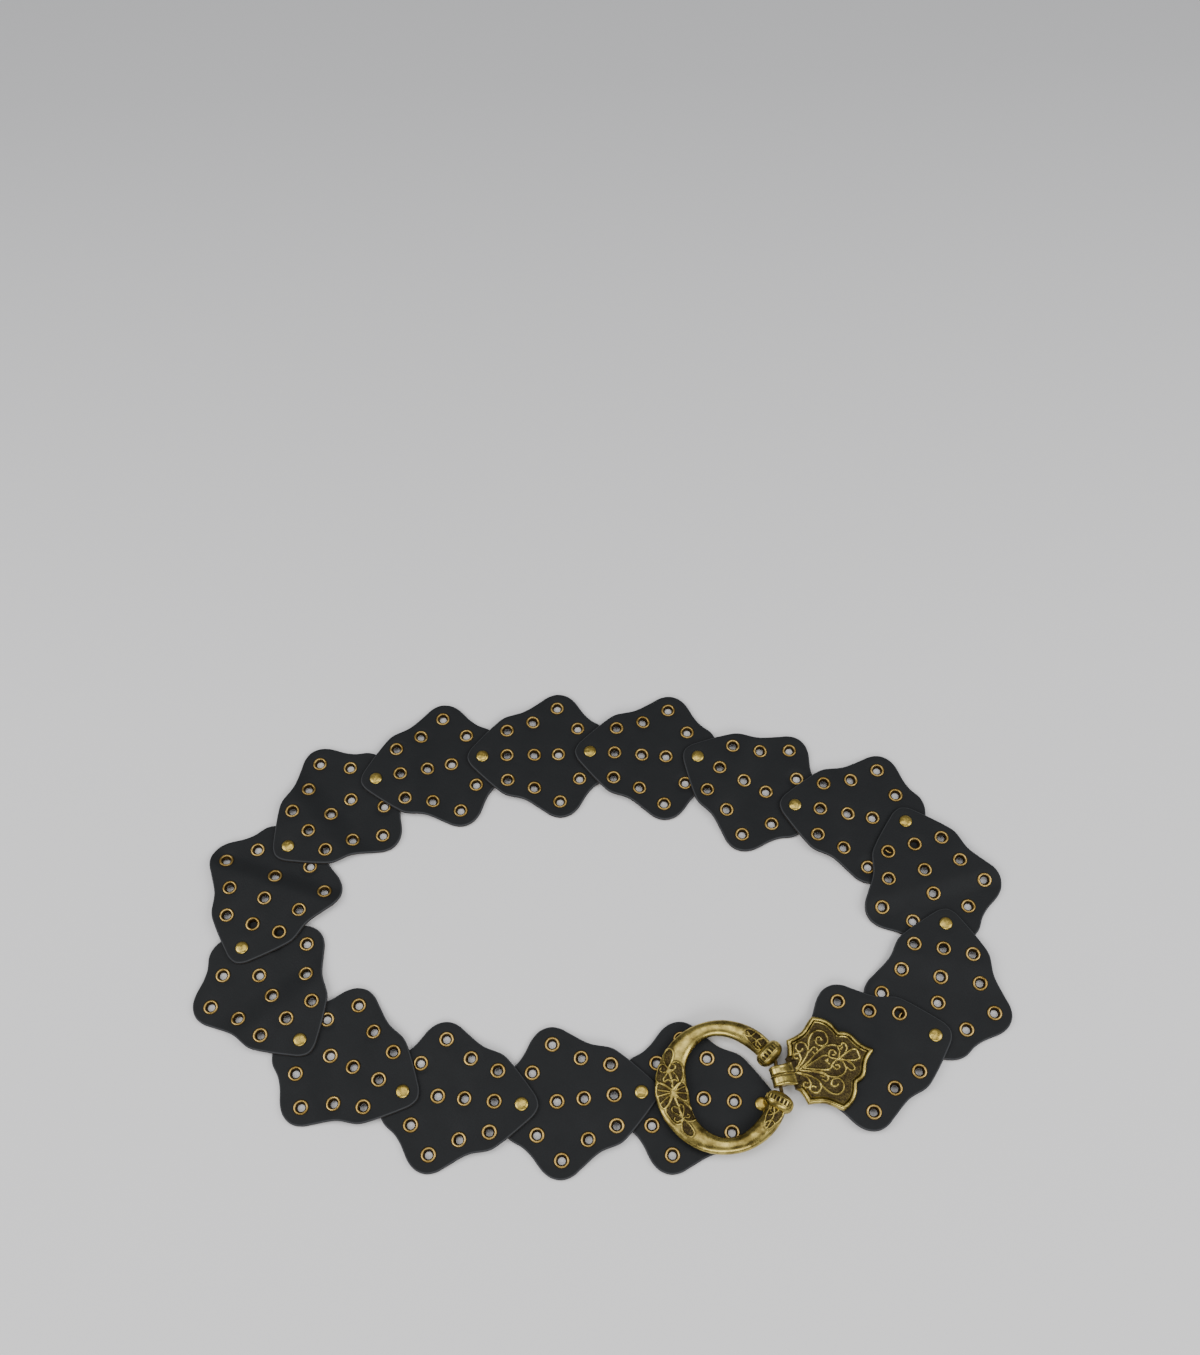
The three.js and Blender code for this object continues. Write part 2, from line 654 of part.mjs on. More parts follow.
const clasp = new THREE.Group();
const firstTurn = rad(PLATES[0].turn);
clasp.position.set(
  places[0].x + HINGE.fromRivet * Math.cos(firstTurn),
  places[0].y + HINGE.fromRivet * Math.sin(firstTurn), 0);
clasp.rotation.z = firstTurn + Math.PI;
belt.add(clasp);
clasp.add(named('shield_plate', shieldGeometry(), COLOURS.antique));
clasp.add(named('hinge_pin', toGeometry(hingeRod(HINGE.pin)), COLOURS.rivet));

const ring = new THREE.Group();
ring.position.set(0, HINGE.shift, 0);
ring.rotation.z = rad(HINGE.skew);
clasp.add(ring);

// The hook's centre, in the ring's frame.
function hookPlace() {
  const last = PLATES.length - 1;
  const turn = rad(PLATES[last].turn);
  const { along } = EYELETS[HOOK.eyelet];
  const x = places[last].x + along * Math.cos(turn);
  const y = places[last].y + along * Math.sin(turn);
  belt.updateMatrixWorld(true);
  return ring.worldToLocal(new THREE.Vector3(x, y, 0));
}

function ringGeometry() {
  const { x, y } = hookPlace();
  const hook = rod([x, y, HOOK.low], [x, y, RING.back + LAP], HOOK.r, HOOK.sides);
  const reach = HINGE.pinReach + GAP;
  const socket = rod([0, -reach, HINGE.z], [0, reach, HINGE.z], HINGE.pin + GAP, HINGE.sides);
  return toGeometry(ringSolid().add(hook).subtract(socket));
}

ring.add(named('ring', ringGeometry(), COLOURS.antique));

export default belt;
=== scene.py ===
"""Medallion belt: fifteen leather plates riveted into a loop, closed by a hinged ring clasp.

Shapes are worked out in millimetres, with +Z up and the belt face up on Z = 0,
and become metres when a mesh is made.
"""

import functools
import math

import bpy
import numpy as np
from mathutils import Matrix, Vector, noise
from mathutils.geometry import delaunay_2d_cdt


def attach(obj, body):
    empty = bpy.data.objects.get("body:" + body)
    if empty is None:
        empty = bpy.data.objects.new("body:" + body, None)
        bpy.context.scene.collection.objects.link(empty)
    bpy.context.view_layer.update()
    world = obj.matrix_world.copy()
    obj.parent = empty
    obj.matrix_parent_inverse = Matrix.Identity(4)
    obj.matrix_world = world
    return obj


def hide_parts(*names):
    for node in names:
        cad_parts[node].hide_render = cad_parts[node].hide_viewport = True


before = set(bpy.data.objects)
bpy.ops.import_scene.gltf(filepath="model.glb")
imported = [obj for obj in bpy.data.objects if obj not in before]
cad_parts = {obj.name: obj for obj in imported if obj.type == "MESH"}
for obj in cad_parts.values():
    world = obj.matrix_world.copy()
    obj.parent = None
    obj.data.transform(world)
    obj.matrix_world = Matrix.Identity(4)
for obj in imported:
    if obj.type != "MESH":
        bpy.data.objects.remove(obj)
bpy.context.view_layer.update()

METRE = 0.001

# Sizes that the solids share.

PITCH = 70.0
LEATHER = 2.0
GAP = 0.3
BACK = 0.8
RISE = LEATHER + GAP
FLOOR_TOP = BACK + LEATHER
TIP_TOP = FLOOR_TOP + RISE

RIM_R = 4.6

START = (194.0, -82.2)
TURNS = [-168.1, -103.0, -77.0, -11.7, -31.6, -5.4, 0.4, 10.6, 39.5, 69.9,
         123.8, 152.1, 171.8, -176.5, 172.6]

# Half outline of a plate: distance along from the tip's rivet, distance out.
EDGE = [
    (-9.9, 0.0), (-8.2, 5.0), (-4.6, 9.4), (8.7, 23.0), (14.6, 27.6), (27.0, 31.4),
    (38.3, 38.9), (43.7, 42.6), (49.6, 44.2), (55.6, 42.8), (60.6, 38.8), (67.1, 28.9),
    (71.5, 24.0), (78.4, 18.9), (81.8, 12.6), (82.6, 0.0),
]

# Eyelets: along, out; the outer ones come in pairs.
EYELETS = [(16.0, 0.0), (33.7, 0.0), (49.4, 0.0), (16.3, 17.7), (33.3, 23.5),
           (49.5, 33.5), (62.5, 18.0)]

# The shield hides the first plate's eyelets on its middle line and past this distance.
SHIELD_COVERS = 60

# Where a plate steps down from over its neighbour.
CREASE_GENTLE = (21.6, 42.4)
CREASE_SHARP = (42.4, 56.0)
SHARP_TURN = 45.0

# Clasp.
HINGE_REACH = 97.3
HINGE_SHIFT = -1.55
HINGE_SKEW = -5.2
HINGE_Z = 8.2
SHIELD_SKEW = 2.0
SHIELD_BACK = TIP_TOP + GAP
SHIELD_FIELD = 7.2
SHIELD_RIM = 8.4

# Half outline of the shield in runs that meet at its corners: x along its own axis
# from the hinge point, y out.
SHIELD_RUNS = [
    [(59, 0), (58.1, 1.4), (56.2, 2.7), (54.2, 4.4), (52.3, 6.8), (51.1, 9.2), (50, 11.5),
     (48.6, 13.2), (46.6, 14.7), (44.9, 15.4), (43, 15.9)],
    [(43, 15.9), (42.3, 17.8), (41, 20.7), (38.8, 23.8), (36.3, 25.9), (33.8, 27.3),
     (31.8, 28.1), (30.2, 28.4)],
    [(30.2, 28.4), (28.5, 27.3), (26.6, 25.7), (22.4, 22.3), (19.9, 21.1), (16.9, 20.3),
     (14, 19.8), (11.6, 19.4)],
    [(11.6, 19.4), (11.3, 17.9), (10.9, 15.6), (10.2, 13.3), (9.3, 11.1), (7.4, 9.1)],
]

RING_CENTRE = -33.0
RING_BACK = 5.4
# Sections of the ring by angle from the hinge side: inner and outer radius, height.
RING_SECTIONS = [
    (24, 27.6, 38.2, 6), (38, 27.1, 38.8, 6), (52, 27.3, 38.9, 5.8), (66, 28.1, 38.8, 5.6),
    (80, 29.1, 38.8, 5.4), (95, 29.4, 38.7, 5.2), (112, 28, 38.8, 5), (128, 26, 38.9, 4.7),
    (143, 23.9, 38.8, 4.4), (160, 21.4, 39.1, 4.2), (180, 20.1, 39.5, 4.1),
]
BEAD_X = -2.6
BEAD_Y = 14.2
BEAD_LEAN = 38.0
BEAD_R = 8.6
BEAD_HALF = 5.6
BEAD_FLATTEN = 0.72
HOOK_R = 1.5
HOOK_LOW = 0.4

# The cast ornament is charted on millimetre grids with x along the clasp. Each chart's
# origin is given from the hinge point.
SHIELD_CHART = (-0.9, -2.3)
RING_CHART = (-2.2, -2.3)

# The ring's rows are then moved to where the photograph shows them, the wide part's by a
# shift that grows down the chart from BAND_TOP.
BAND_TOP = 18.7
BAND_SHIFT = np.array([0.14, -0.39])
BAND_DRIFT = np.array([0.024, -0.032])
UPPER_ARM_MIDDLE = np.array([-5.8, 24.9])
UPPER_ARM_TURN = -6.0
UPPER_ARM_SHIFT = (1, -0.3)
LOWER_ARM_SHIFT = (1.5, -0.7)

# Wires on the shield. Each is a smooth line through its points.
SHIELD_WIRES = [
    # Upper side: outer scroll with its curl and bud, then the large spiral and its curl.
    [(10.5, 2), (14.6, 5.4), (16.8, 8.4), (16.6, 12), (15.8, 14.8), (17.2, 17), (20.2, 17.2),
     (22, 15), (22.4, 12.2)],
    [(16.4, 12.6), (18, 12.3), (19.4, 13.4)],
    [(16.6, 11.2), (14.6, 11.6), (13.2, 10.6), (13.4, 9.2), (14.8, 8.8)],
    [(12, 2), (17, 5.8), (20.8, 9.4), (22.8, 13.2), (25, 18.2), (28, 20.8), (31.4, 21.4),
     (34.6, 19.6), (35.6, 16.4), (34.4, 13.4), (31.6, 12.2), (29, 13.2), (28.2, 15.4), (29.6, 17.6),
     (31.6, 17.2), (31.8, 15.6)],
    [(21.4, 10), (23.6, 11.4), (26, 12.6), (27.6, 11.2), (27.2, 9.2), (25.6, 8.6), (24.8, 10)],
    # Upper half of the heart with its curl, and of the teardrop inside it.
    [(14, 2.2), (20, 5), (26, 8.8), (31, 11), (35.6, 11.5), (39.2, 10.2), (40, 7.2),
     (38.8, 4.2), (38, 2.6)],
    [(33.2, 5), (33.6, 7.4), (35.4, 8.6), (37.2, 7.6), (37.2, 5.8), (35.6, 5.6)],
    [(17, 2.4), (24, 4.6), (29.6, 6.4), (31.8, 6.2), (33.2, 4.8), (35.6, 3.4), (38, 2.6)],
    [(30.4, 3.4), (31.8, 4), (31, 2.6), (31.8, 1.2)],
    # Three petals at the point.
    [(39.4, 3.2), (42.8, 5.2), (44.8, 8), (44.4, 10.2), (42.8, 10.9), (41.6, 9.6), (40.2, 9.8)],
    [(41.2, 7.8), (42.2, 8.6)],
    [(38.6, 2.5), (43, 4.6), (47.6, 5.9), (49.8, 5.2), (50.4, 2.6), (50, 0.2), (47.6, -0.4),
     (43, 0.6), (38.6, 2.4)],
    [(39.6, 2), (42.4, 0.4), (44.8, -2.2), (45.6, -4.6), (44.2, -5.8), (42.4, -5), (41.4, -3.4)],
    # Lower side: the two scrolls, the large spiral and the small curl.
    [(10.5, 1.2), (14.4, -0.8), (17.2, -3.6), (18, -7), (16.4, -8.8), (14.2, -8.2), (13.8, -6.4),
     (15.2, -5.6), (16.2, -6.4)],
    [(12, 1.2), (17.4, -1.8), (21.6, -5.2), (23.6, -8.8), (22.6, -11.6), (20, -13), (17.4, -11.8),
     (16.8, -9.6), (18.4, -8.8), (20.2, -9.8)],
    [(23.8, -9.2), (25.6, -12.6), (28.6, -15.8), (32, -16.8), (35.2, -15), (36.4, -11.6),
     (35, -8.6), (32.4, -7.8), (30, -9), (29.8, -11.4), (31.8, -12.2), (33.2, -11.4)],
    [(21, -0.2), (25, -2), (28.2, -4.2), (28.6, -6.8), (27, -8), (25.4, -6.8)],
    [(28.2, -4.6), (26.6, -5.2), (25.2, -4.4)],
    # Lower half of the heart and of the teardrop.
    [(14, 1.8), (20, -0.4), (25.6, -3), (30.6, -6.2), (35, -7.2), (38.6, -6.2), (40.6, -3.4),
     (40, 0), (38.2, 2.2)],
    [(33.4, 0.4), (33.8, -1.6), (35.2, -3), (37, -2.4), (37, -0.8), (35.6, -0.6)],
    [(17, 2.2), (24, -0.2), (29.6, -1.8), (32, -1.4), (33.4, 0.4), (35.8, 1.8), (38, 2.4)],
]

# Ornament on the wide part of the ring: closed leaves, whose ground is sunk, then wires.
UPPER_HUB = (-58.9, 21.4)
FAN_HUB = (-60, 7.6)
LOWER_HUB = (-58.9, -7.7)
RING_LEAVES = [
    # Petals at the two ends.
    [UPPER_HUB, (-59.9, 27), (-58.6, 30.9), (-55.9, 32.3), (-53.6, 30.9), (-53.6, 28.4),
     (-56, 24.6)],
    [LOWER_HUB, (-60.7, -11.2), (-60.8, -14.4), (-59, -17.3), (-56.4, -18.2), (-54.8, -16.2),
     (-55.6, -12.8), (-57.2, -9.8)],
    # Upper lobes, left and right.
    [UPPER_HUB, (-61.4, 24.4), (-64.1, 24.1), (-66.4, 20.9), (-67.4, 16.6), (-65.6, 14.2), (-61, 9.4),
     FAN_HUB, (-58.9, 14)],
    [UPPER_HUB, (-56, 23.6), (-52.9, 23.6), (-50.7, 20.9), (-50.8, 17.2), (-52.8, 13.6),
     (-56, 10.6), FAN_HUB, (-58.9, 14)],
    # Lower lobes.
    [LOWER_HUB, (-60.9, -10), (-63.6, -9.5), (-65.9, -5.5), (-67, -0.8), (-64, 2.6), FAN_HUB,
     (-59.2, 0.4)],
    [LOWER_HUB, (-56.4, -9.6), (-54.1, -10.1), (-51.4, -9.3), (-50.6, -6.6), (-52.6, -2.6),
     (-55.4, 1), FAN_HUB, (-59.2, 0.4)],
    # Fans at the middle, towards the outer and the inner side.
    [FAN_HUB, (-65.6, 14.4), (-67.6, 14.2), (-69.3, 10.8), (-69.4, 7.6), (-69.2, 3.8), (-67.8, 0.4)],
    [FAN_HUB, (-55, 12), (-52.4, 11.6), (-51.6, 8), (-51.8, 4.6), (-53.8, 1.6)],
]
RING_WIRES = [
    # Curls and bell of the upper lobes.
    [UPPER_HUB, (-60.4, 19.9), (-62.4, 19.9), (-63.8, 21.4), (-62.9, 22.6)],
    [UPPER_HUB, (-57.2, 19.9), (-55.4, 20), (-54.4, 21.5), (-55.5, 22.7)],
    [(-58.9, 20.6), (-60.6, 18.4), (-63.2, 16.4), (-63.1, 14.6), (-60.9, 15.2), (-59.1, 13.7),
     (-57.3, 14.4), (-55.3, 13.2), (-55.2, 15.4), (-56.6, 18.4), (-58.9, 20.6)],
    # Curls and heart of the lower lobes.
    [LOWER_HUB, (-60.9, -8.4), (-62.9, -8.4), (-63.9, -7), (-63, -5.9)],
    [LOWER_HUB, (-57.3, -7.1), (-55.5, -7.9), (-54.4, -6.8), (-55.4, -5.7)],
    [(-58.9, -6.9), (-61.2, -4.6), (-63.4, -2.4), (-63, -0.4), (-61.2, -0.2), (-59.6, -1.2),
     (-58, 0.4), (-56.6, -0.6), (-56.6, -2.4), (-57.6, -4.8), (-58.9, -6.9)],
] + [
    # Rays of the fans.
    [FAN_HUB, *ends] for ends in (
        [(-67.8, 11)], [(-69.4, 7.7)], [(-68.6, 3.6)], [(-63.8, 2), (-66.6, 0)],
        [(-52, 9.6)], [(-52, 5.4)])
]
# Small panels beside the beads.
ARM_LEAVES = [
    [(-10.2, 31.8), (-11.5, 28.8), (-10.4, 25.2), (-8.4, 22.2), (-6.2, 18.8), (-1.4, 18.6), (1.6, 21.6),
     (-0.6, 25), (-4, 29.2), (-7.8, 31.8)],
    [(-15, -21.8), (-15.5, -24.6), (-13.6, -26), (-10, -24.4), (-6.2, -22.6), (-2.6, -19.2),
     (-1, -15), (-5, -12), (-8.8, -12.6), (-10.4, -15), (-12.9, -17.6)],
]
ARM_WIRES = [
    [(-9.6, 30.2), (-8.2, 27), (-5.4, 24), (-3.4, 20.6)],
    [(-5.4, 24), (-1.6, 25)],
    [(-5.4, 24), (-7.8, 23)],
    [(-8.2, 27), (-6, 28.4), (-5, 30)],
    [(-8.2, 27), (-10.6, 27.8)],
    [(-5.4, 24), (-6.2, 21.4), (-4.6, 19.4)],
    [(-13.8, -24.4), (-10.8, -21.4), (-8.4, -18.6), (-7.2, -14.4)],
    [(-8.4, -18.6), (-4.4, -17.4), (-2.6, -18.4)],
    [(-8.4, -18.6), (-11.6, -18.4)],
    [(-10.8, -21.4), (-9.6, -23.6)],
    [(-10.8, -21.4), (-14, -21.8)],
    [(-8.4, -18.6), (-10, -16.4), (-8.6, -14)],
]

SEED = 7


# Plan geometry.

def turned(points, degrees):
    """Plan points turned about the origin."""
    c, s = math.cos(math.radians(degrees)), math.sin(math.radians(degrees))
    return np.asarray(points, float) @ np.array([[c, s], [-s, c]])


def blend(t, start, end, first, second):
    """From one value to another as t goes from start to end."""
    return (end - t) / (end - start) * first + (t - start) / (end - start) * second


def smooth_line(points, closed=False, step=0.4):
    """A centripetal Catmull-Rom line through given points."""
    p = np.asarray(points, float)
    n = len(p)
    rows = []
    for i in range(n if closed else n - 1):
        p1, p2 = p[i], p[(i + 1) % n]
        p0 = p[i - 1] if closed or i > 0 else 2 * p1 - p2
        p3 = p[(i + 2) % n] if closed or i + 2 < n else 2 * p2 - p1
        k1 = math.sqrt(np.linalg.norm(p1 - p0))
        k2 = k1 + math.sqrt(np.linalg.norm(p2 - p1))
        k3 = k2 + math.sqrt(np.linalg.norm(p3 - p2))
        count = max(2, math.ceil(np.linalg.norm(p2 - p1) / step))
        t = np.linspace(k1, k2, count, endpoint=False)[:, None]
        middle = blend(t, k1, k2, p1, p2)
        before = blend(t, 0, k2, blend(t, 0, k1, p0, p1), middle)
        after = blend(t, k1, k3, middle, blend(t, k2, k3, p2, p3))
        rows.append(blend(t, k1, k2, before, after))
    if not closed:
        rows.append(p[-1:])
    return np.concatenate(rows)


def evenly(line, step, closed=True):
    """The same line with points at even steps."""
    p = np.vstack([line, line[:1]]) if closed else line
    length = np.concatenate([[0], np.cumsum(np.linalg.norm(np.diff(p, axis=0), axis=1))])
    count = max(3, round(length[-1] / step))
    at = np.linspace(0, length[-1], count + 1)
    if closed:
        at = at[:-1]
    return np.column_stack([np.interp(at, length, p[:, k]) for k in range(2)])


def line_distance(points, line, closed=False):
    """Distance of plan points to a line of short segments."""
    a = line
    b = np.roll(line, -1, axis=0)
    if not closed:
        a, b = a[:-1], b[:-1]
    best = np.full(len(points), np.inf)
    for start in range(0, len(a), 64):
        p, q = a[start:start + 64], b[start:start + 64]
        d = q - p
        rel = points[:, None, :] - p[None]
        t = np.clip((rel * d).sum(-1) / np.maximum((d * d).sum(-1), 1e-12), 0, 1)
        gap = np.linalg.norm(rel - t[..., None] * d, axis=-1)
        best = np.minimum(best, gap.min(axis=1))
    return best


def inside(points, outline):
    """Whether plan points lie inside a closed outline."""
    x, y = points[:, 0], points[:, 1]
    hit = np.zeros(len(points), bool)
    for (ax, ay), (bx, by) in zip(outline, np.roll(outline, -1, axis=0)):
        if ay == by:
            continue
        crosses = (ay > y) != (by > y)
        hit ^= crosses & (x < (bx - ax) * (y - ay) / (by - ay) + ax)
    return hit


def inset(outline, distance):
    """Each point of an anticlockwise outline moved inwards."""
    along = np.roll(outline, -1, axis=0) - np.roll(outline, 1, axis=0)
    along /= np.linalg.norm(along, axis=1)[:, None]
    return outline + distance * np.column_stack([-along[:, 1], along[:, 0]])


def ease(t):
    """0 to 1 with level ends."""
    t = np.clip(t, 0, 1)
    return t * t * (3 - 2 * t)


def bell(distance, width):
    """1 at no distance, falling to 0 over a few widths."""
    return np.exp(-(distance / width) ** 2)


def circle(x, y, radius, count):
    a = 2 * math.pi * np.arange(count) / count
    return np.column_stack([x + radius * np.cos(a), y + radius * np.sin(a)])


# Meshes. A shape is (points in mm, faces, {attribute: values}).

def add_object(name, data):
    made = bpy.data.objects.new(name, data)
    bpy.context.scene.collection.objects.link(made)
    return made


def make_object(name, shape, material, sharp=35.0):
    """A smooth object with sharp edges past `sharp` degrees."""
    points, faces, layers = shape
    mesh = bpy.data.meshes.new(name)
    mesh.from_pydata((np.asarray(points) * METRE).tolist(), [], [list(map(int, f)) for f in faces])
    for key, values in layers.items():
        layer = mesh.attributes.new(key, "FLOAT", "POINT")
        layer.data.foreach_set("value", np.asarray(values, np.float32))
    mesh.materials.append(material)
    mesh.validate()
    mesh.shade_smooth()
    mesh.set_sharp_from_angle(angle=math.radians(sharp))
    return add_object(name, mesh)


def joined(shapes):
    """Several shapes with the same attributes as one."""
    faces, start = [], 0
    for points, own, _ in shapes:
        faces.extend([i + start for i in face] for face in own)
        start += len(points)
    layers = {key: np.concatenate([s[2][key] for s in shapes]) for key in shapes[0][2]}
    return np.vstack([s[0] for s in shapes]), faces, layers


def outward(shape):
    """The same closed shape with its faces pointing out."""
    points, faces, layers = shape
    volume = 0.0
    for f in faces:
        for k in range(1, len(f) - 1):
            volume += np.dot(points[f[0]], np.cross(points[f[k]], points[f[k + 1]]))
    if volume < 0:
        faces = [tuple(reversed(f)) for f in faces]
    return points, faces, layers


def clouds(points, size, layer):
    """Soft random heights over plan points; `layer` picks a pattern."""
    return np.array([noise.noise(Vector((x / size, y / size, layer))) for x, y in points])


# Points this close are one; triangles inside this share of a hole's radius are dropped.
MERGE = 1e-5
HOLE_MARGIN = 0.98


def plan_triangles(rings, spots, outline, holes):
    """Triangles between an outline and round holes, through rings and loose spots."""
    points, edges = [], []
    for ring in rings:
        base = len(points)
        points.extend(map(tuple, ring))
        edges.extend((base + i, base + (i + 1) % len(ring)) for i in range(len(ring)))
    points.extend(map(tuple, spots))
    found, _, faces, *_ = delaunay_2d_cdt([Vector(p) for p in points], edges, [], 0, MERGE)
    plan = np.array([tuple(p) for p in found])
    tris = np.array([f for f in faces if len(f) == 3])
    mid = plan[tris].mean(axis=1)
    keep = inside(mid, outline)
    for x, y, r in holes:
        keep &= np.hypot(mid[:, 0] - x, mid[:, 1] - y) > r * HOLE_MARGIN
    tris = tris[keep]
    a, b, c = plan[tris[:, 0]], plan[tris[:, 1]], plan[tris[:, 2]]
    area = (b[:, 0] - a[:, 0]) * (c[:, 1] - a[:, 1]) - (b[:, 1] - a[:, 1]) * (c[:, 0] - a[:, 0])
    flip = area < 0
    tris[flip] = tris[flip][:, ::-1]
    used = np.unique(tris)
    index = np.full(len(plan), -1)
    index[used] = np.arange(len(used))
    return plan[used], index[tris]


def sheet(plan, tris, low, high):
    """A closed sheet over plan triangles between two heights: top points come first."""
    n = len(plan)
    edges = np.vstack([tris[:, [0, 1]], tris[:, [1, 2]], tris[:, [2, 0]]])
    seen = set(map(tuple, edges))
    rim = [(a, b) for a, b in seen if (b, a) not in seen]
    faces = [tuple(t) for t in tris]
    faces += [(a + n, c + n, b + n) for a, b, c in tris]
    faces += [(a + n, b + n, b, a) for a, b in sorted(rim)]
    points = np.vstack([np.column_stack([plan, high]), np.column_stack([plan, low])])
    return points, faces


def grid_faces(rows, steps, looped=False):
    """Quads over closed rows of points; `looped` also joins the last row to the first."""
    faces = []
    for i in range(rows if looped else rows - 1):
        a, b = i * steps, (i + 1) % rows * steps
        for j in range(steps):
            k = (j + 1) % steps
            faces.append((a + j, a + k, b + k, b + j))
    return faces


def end_faces(rows, steps):
    """The two faces that close such rows at the first and the last of them."""
    return [tuple(reversed(range(steps))), tuple(range((rows - 1) * steps, rows * steps))]


def lathe(profile, steps):
    """Points of a profile of (radius, height) turned about Z, a loop to each of its rows."""
    profile = np.asarray(profile, float)
    a = 2 * math.pi * np.arange(steps) / steps
    points = np.empty((len(profile), steps, 3))
    points[..., 0] = profile[:, None, 0] * np.cos(a)
    points[..., 1] = profile[:, None, 0] * np.sin(a)
    points[..., 2] = profile[:, None, 1]
    return points.reshape(-1, 3)


def closed_lathe(profile, steps):
    """A lathe whose first and last rows close with flat discs."""
    rows = len(profile)
    return lathe(profile, steps), grid_faces(rows, steps) + end_faces(rows, steps)


def looped_lathe(profile, steps):
    """A lathe of a closed profile, such as a torus."""
    return lathe(profile, steps), grid_faces(len(profile), steps, looped=True)


# The chain.

def rivet_places():
    places = [np.array(START)]
    for turn in TURNS[1:]:
        places.append(places[-1] - turned([PITCH, 0], turn))
    return places


PLACES = rivet_places()
LAST = len(TURNS) - 1


def plate_eyelets(index):
    rows = []
    for along, out in EYELETS:
        rows.extend([(along, out)] if out == 0 else [(along, out), (along, -out)])
    if index == 0:
        rows = [(a, o) for a, o in rows if o and a < SHIELD_COVERS]
    return rows


OUTLINE_STEP = 1.5


def plate_outline():
    """The plate's outline, anticlockwise in (along, out)."""
    lower = [(a, -o) for a, o in reversed(EDGE)]
    line = smooth_line(lower + EDGE[1:-1], closed=True, step=0.5)
    return evenly(line[::-1], OUTLINE_STEP)


OUTLINE = plate_outline()


def is_pressed(index, along, out):
    """Whether the plate before this one lies over an eyelet."""
    if index == 0:
        return False
    ring = circle(along, out, RIM_R + 2 * GAP, 16)
    world = turned(ring, TURNS[index]) + PLACES[index]
    local = turned(world - PLACES[index - 1], -TURNS[index - 1])
    return bool(inside(local, OUTLINE).any())


def underside(index, along):
    """Height of a plate's underside: its tip is raised over the next plate."""
    along = np.asarray(along, float)
    if index in (0, LAST):
        return np.full_like(along, BACK if index else BACK + RISE)
    turn = abs((TURNS[index + 1] - TURNS[index] + 180) % 360 - 180)
    start, end = CREASE_SHARP if turn > SHARP_TURN else CREASE_GENTLE
    return BACK + RISE * ease((end - along) / (end - start))


# Leather plates.

EDGE_ROUND = 1.0
EDGE_ROUND_BACK = 0.35
EYELET_HOLE = 2.75
POST_HOLE = 1.8
DIMPLE = 0.16
DIMPLE_PRESSED = 0.5
DIMPLE_REACH = 7.4
CAP_R = 4.05
CAP_REACH = 6.8

# Slow waves of the leather's top, which fade at its edge.
WAVE = 0.07
WAVE_SIZE = 17.0
WAVE_EDGE = 3.0
WAVE_LAYER = 3.1

# Mesh of a plate: loops inside its outline and round its holes, and a grid between them.
EDGE_LOOPS = (0.1, 0.28, 0.55, 0.9, 1.3, 2.0)
EYELET_LOOPS = (EYELET_HOLE, RIM_R, 5.3, 6.3, DIMPLE_REACH)
CAP_LOOPS = (POST_HOLE, CAP_R, 4.8, 6.0)
LOOP_STEPS = 24
POST_STEPS = 16
SPOT_STEP = 2.2
GRID_ALONG = (-9, 83)
GRID_OUT = (-44, 45)
EDGE_CLEAR = 2.8
EYELET_CLEAR = DIMPLE_REACH + 0.8
POST_CLEAR = 2.6


def rounded(distance, radius):
    """How far a rounded edge has dropped at a distance from it."""
    d = np.clip(distance, 0, radius)
    return radius - np.sqrt(np.maximum(radius ** 2 - (radius - d) ** 2, 0))


def clear_spots(eyelets):
    """A staggered grid inside the outline that keeps clear of the loops."""
    xs, ys = np.meshgrid(np.arange(*GRID_ALONG, SPOT_STEP), np.arange(*GRID_OUT, SPOT_STEP))
    spots = np.column_stack([xs.ravel(), ys.ravel()])
    spots[:, 0] += SPOT_STEP / 2 * (np.round(spots[:, 1] / SPOT_STEP) % 2)
    clear = inside(spots, OUTLINE) & (line_distance(spots, OUTLINE, True) > EDGE_CLEAR)
    rounds = [(a, o, EYELET_CLEAR) for a, o in eyelets]
    for x, y, r in rounds + [(0, 0, CAP_REACH), (PITCH, 0, POST_CLEAR)]:
        clear &= np.hypot(spots[:, 0] - x, spots[:, 1] - y) > r
    return spots[clear]


@functools.cache
def leather_plan(eyelets):
    """Plan triangles of a plate, shared by the plates with the same eyelets."""
    rings = [OUTLINE] + [inset(OUTLINE, d) for d in EDGE_LOOPS]
    for a, o in eyelets:
        rings += [circle(a, o, r, LOOP_STEPS) for r in EYELET_LOOPS]
    rings += [circle(0, 0, r, LOOP_STEPS) for r in CAP_LOOPS]
    rings += [circle(PITCH, 0, POST_HOLE, POST_STEPS)]
    holes = [(a, o, EYELET_HOLE) for a, o in eyelets]
    holes += [(0, 0, POST_HOLE), (PITCH, 0, POST_HOLE)]
    plan, tris = plan_triangles(rings, clear_spots(eyelets), OUTLINE, holes)
    return plan, tris, line_distance(plan, OUTLINE, True)


def dimples(index, plan):
    """How far the leather is pressed down round eyelets and under the cap."""
    dip = np.zeros(len(plan))
    for a, o in plate_eyelets(index):
        depth = DIMPLE_PRESSED if is_pressed(index, a, o) else DIMPLE
        r = np.hypot(plan[:, 0] - a, plan[:, 1] - o)
        dip = np.maximum(dip, depth * ease((DIMPLE_REACH - r) / (DIMPLE_REACH - RIM_R)))
    r = np.hypot(plan[:, 0], plan[:, 1])
    return np.maximum(dip, DIMPLE * ease((CAP_REACH - r) / (CAP_REACH - CAP_R)))


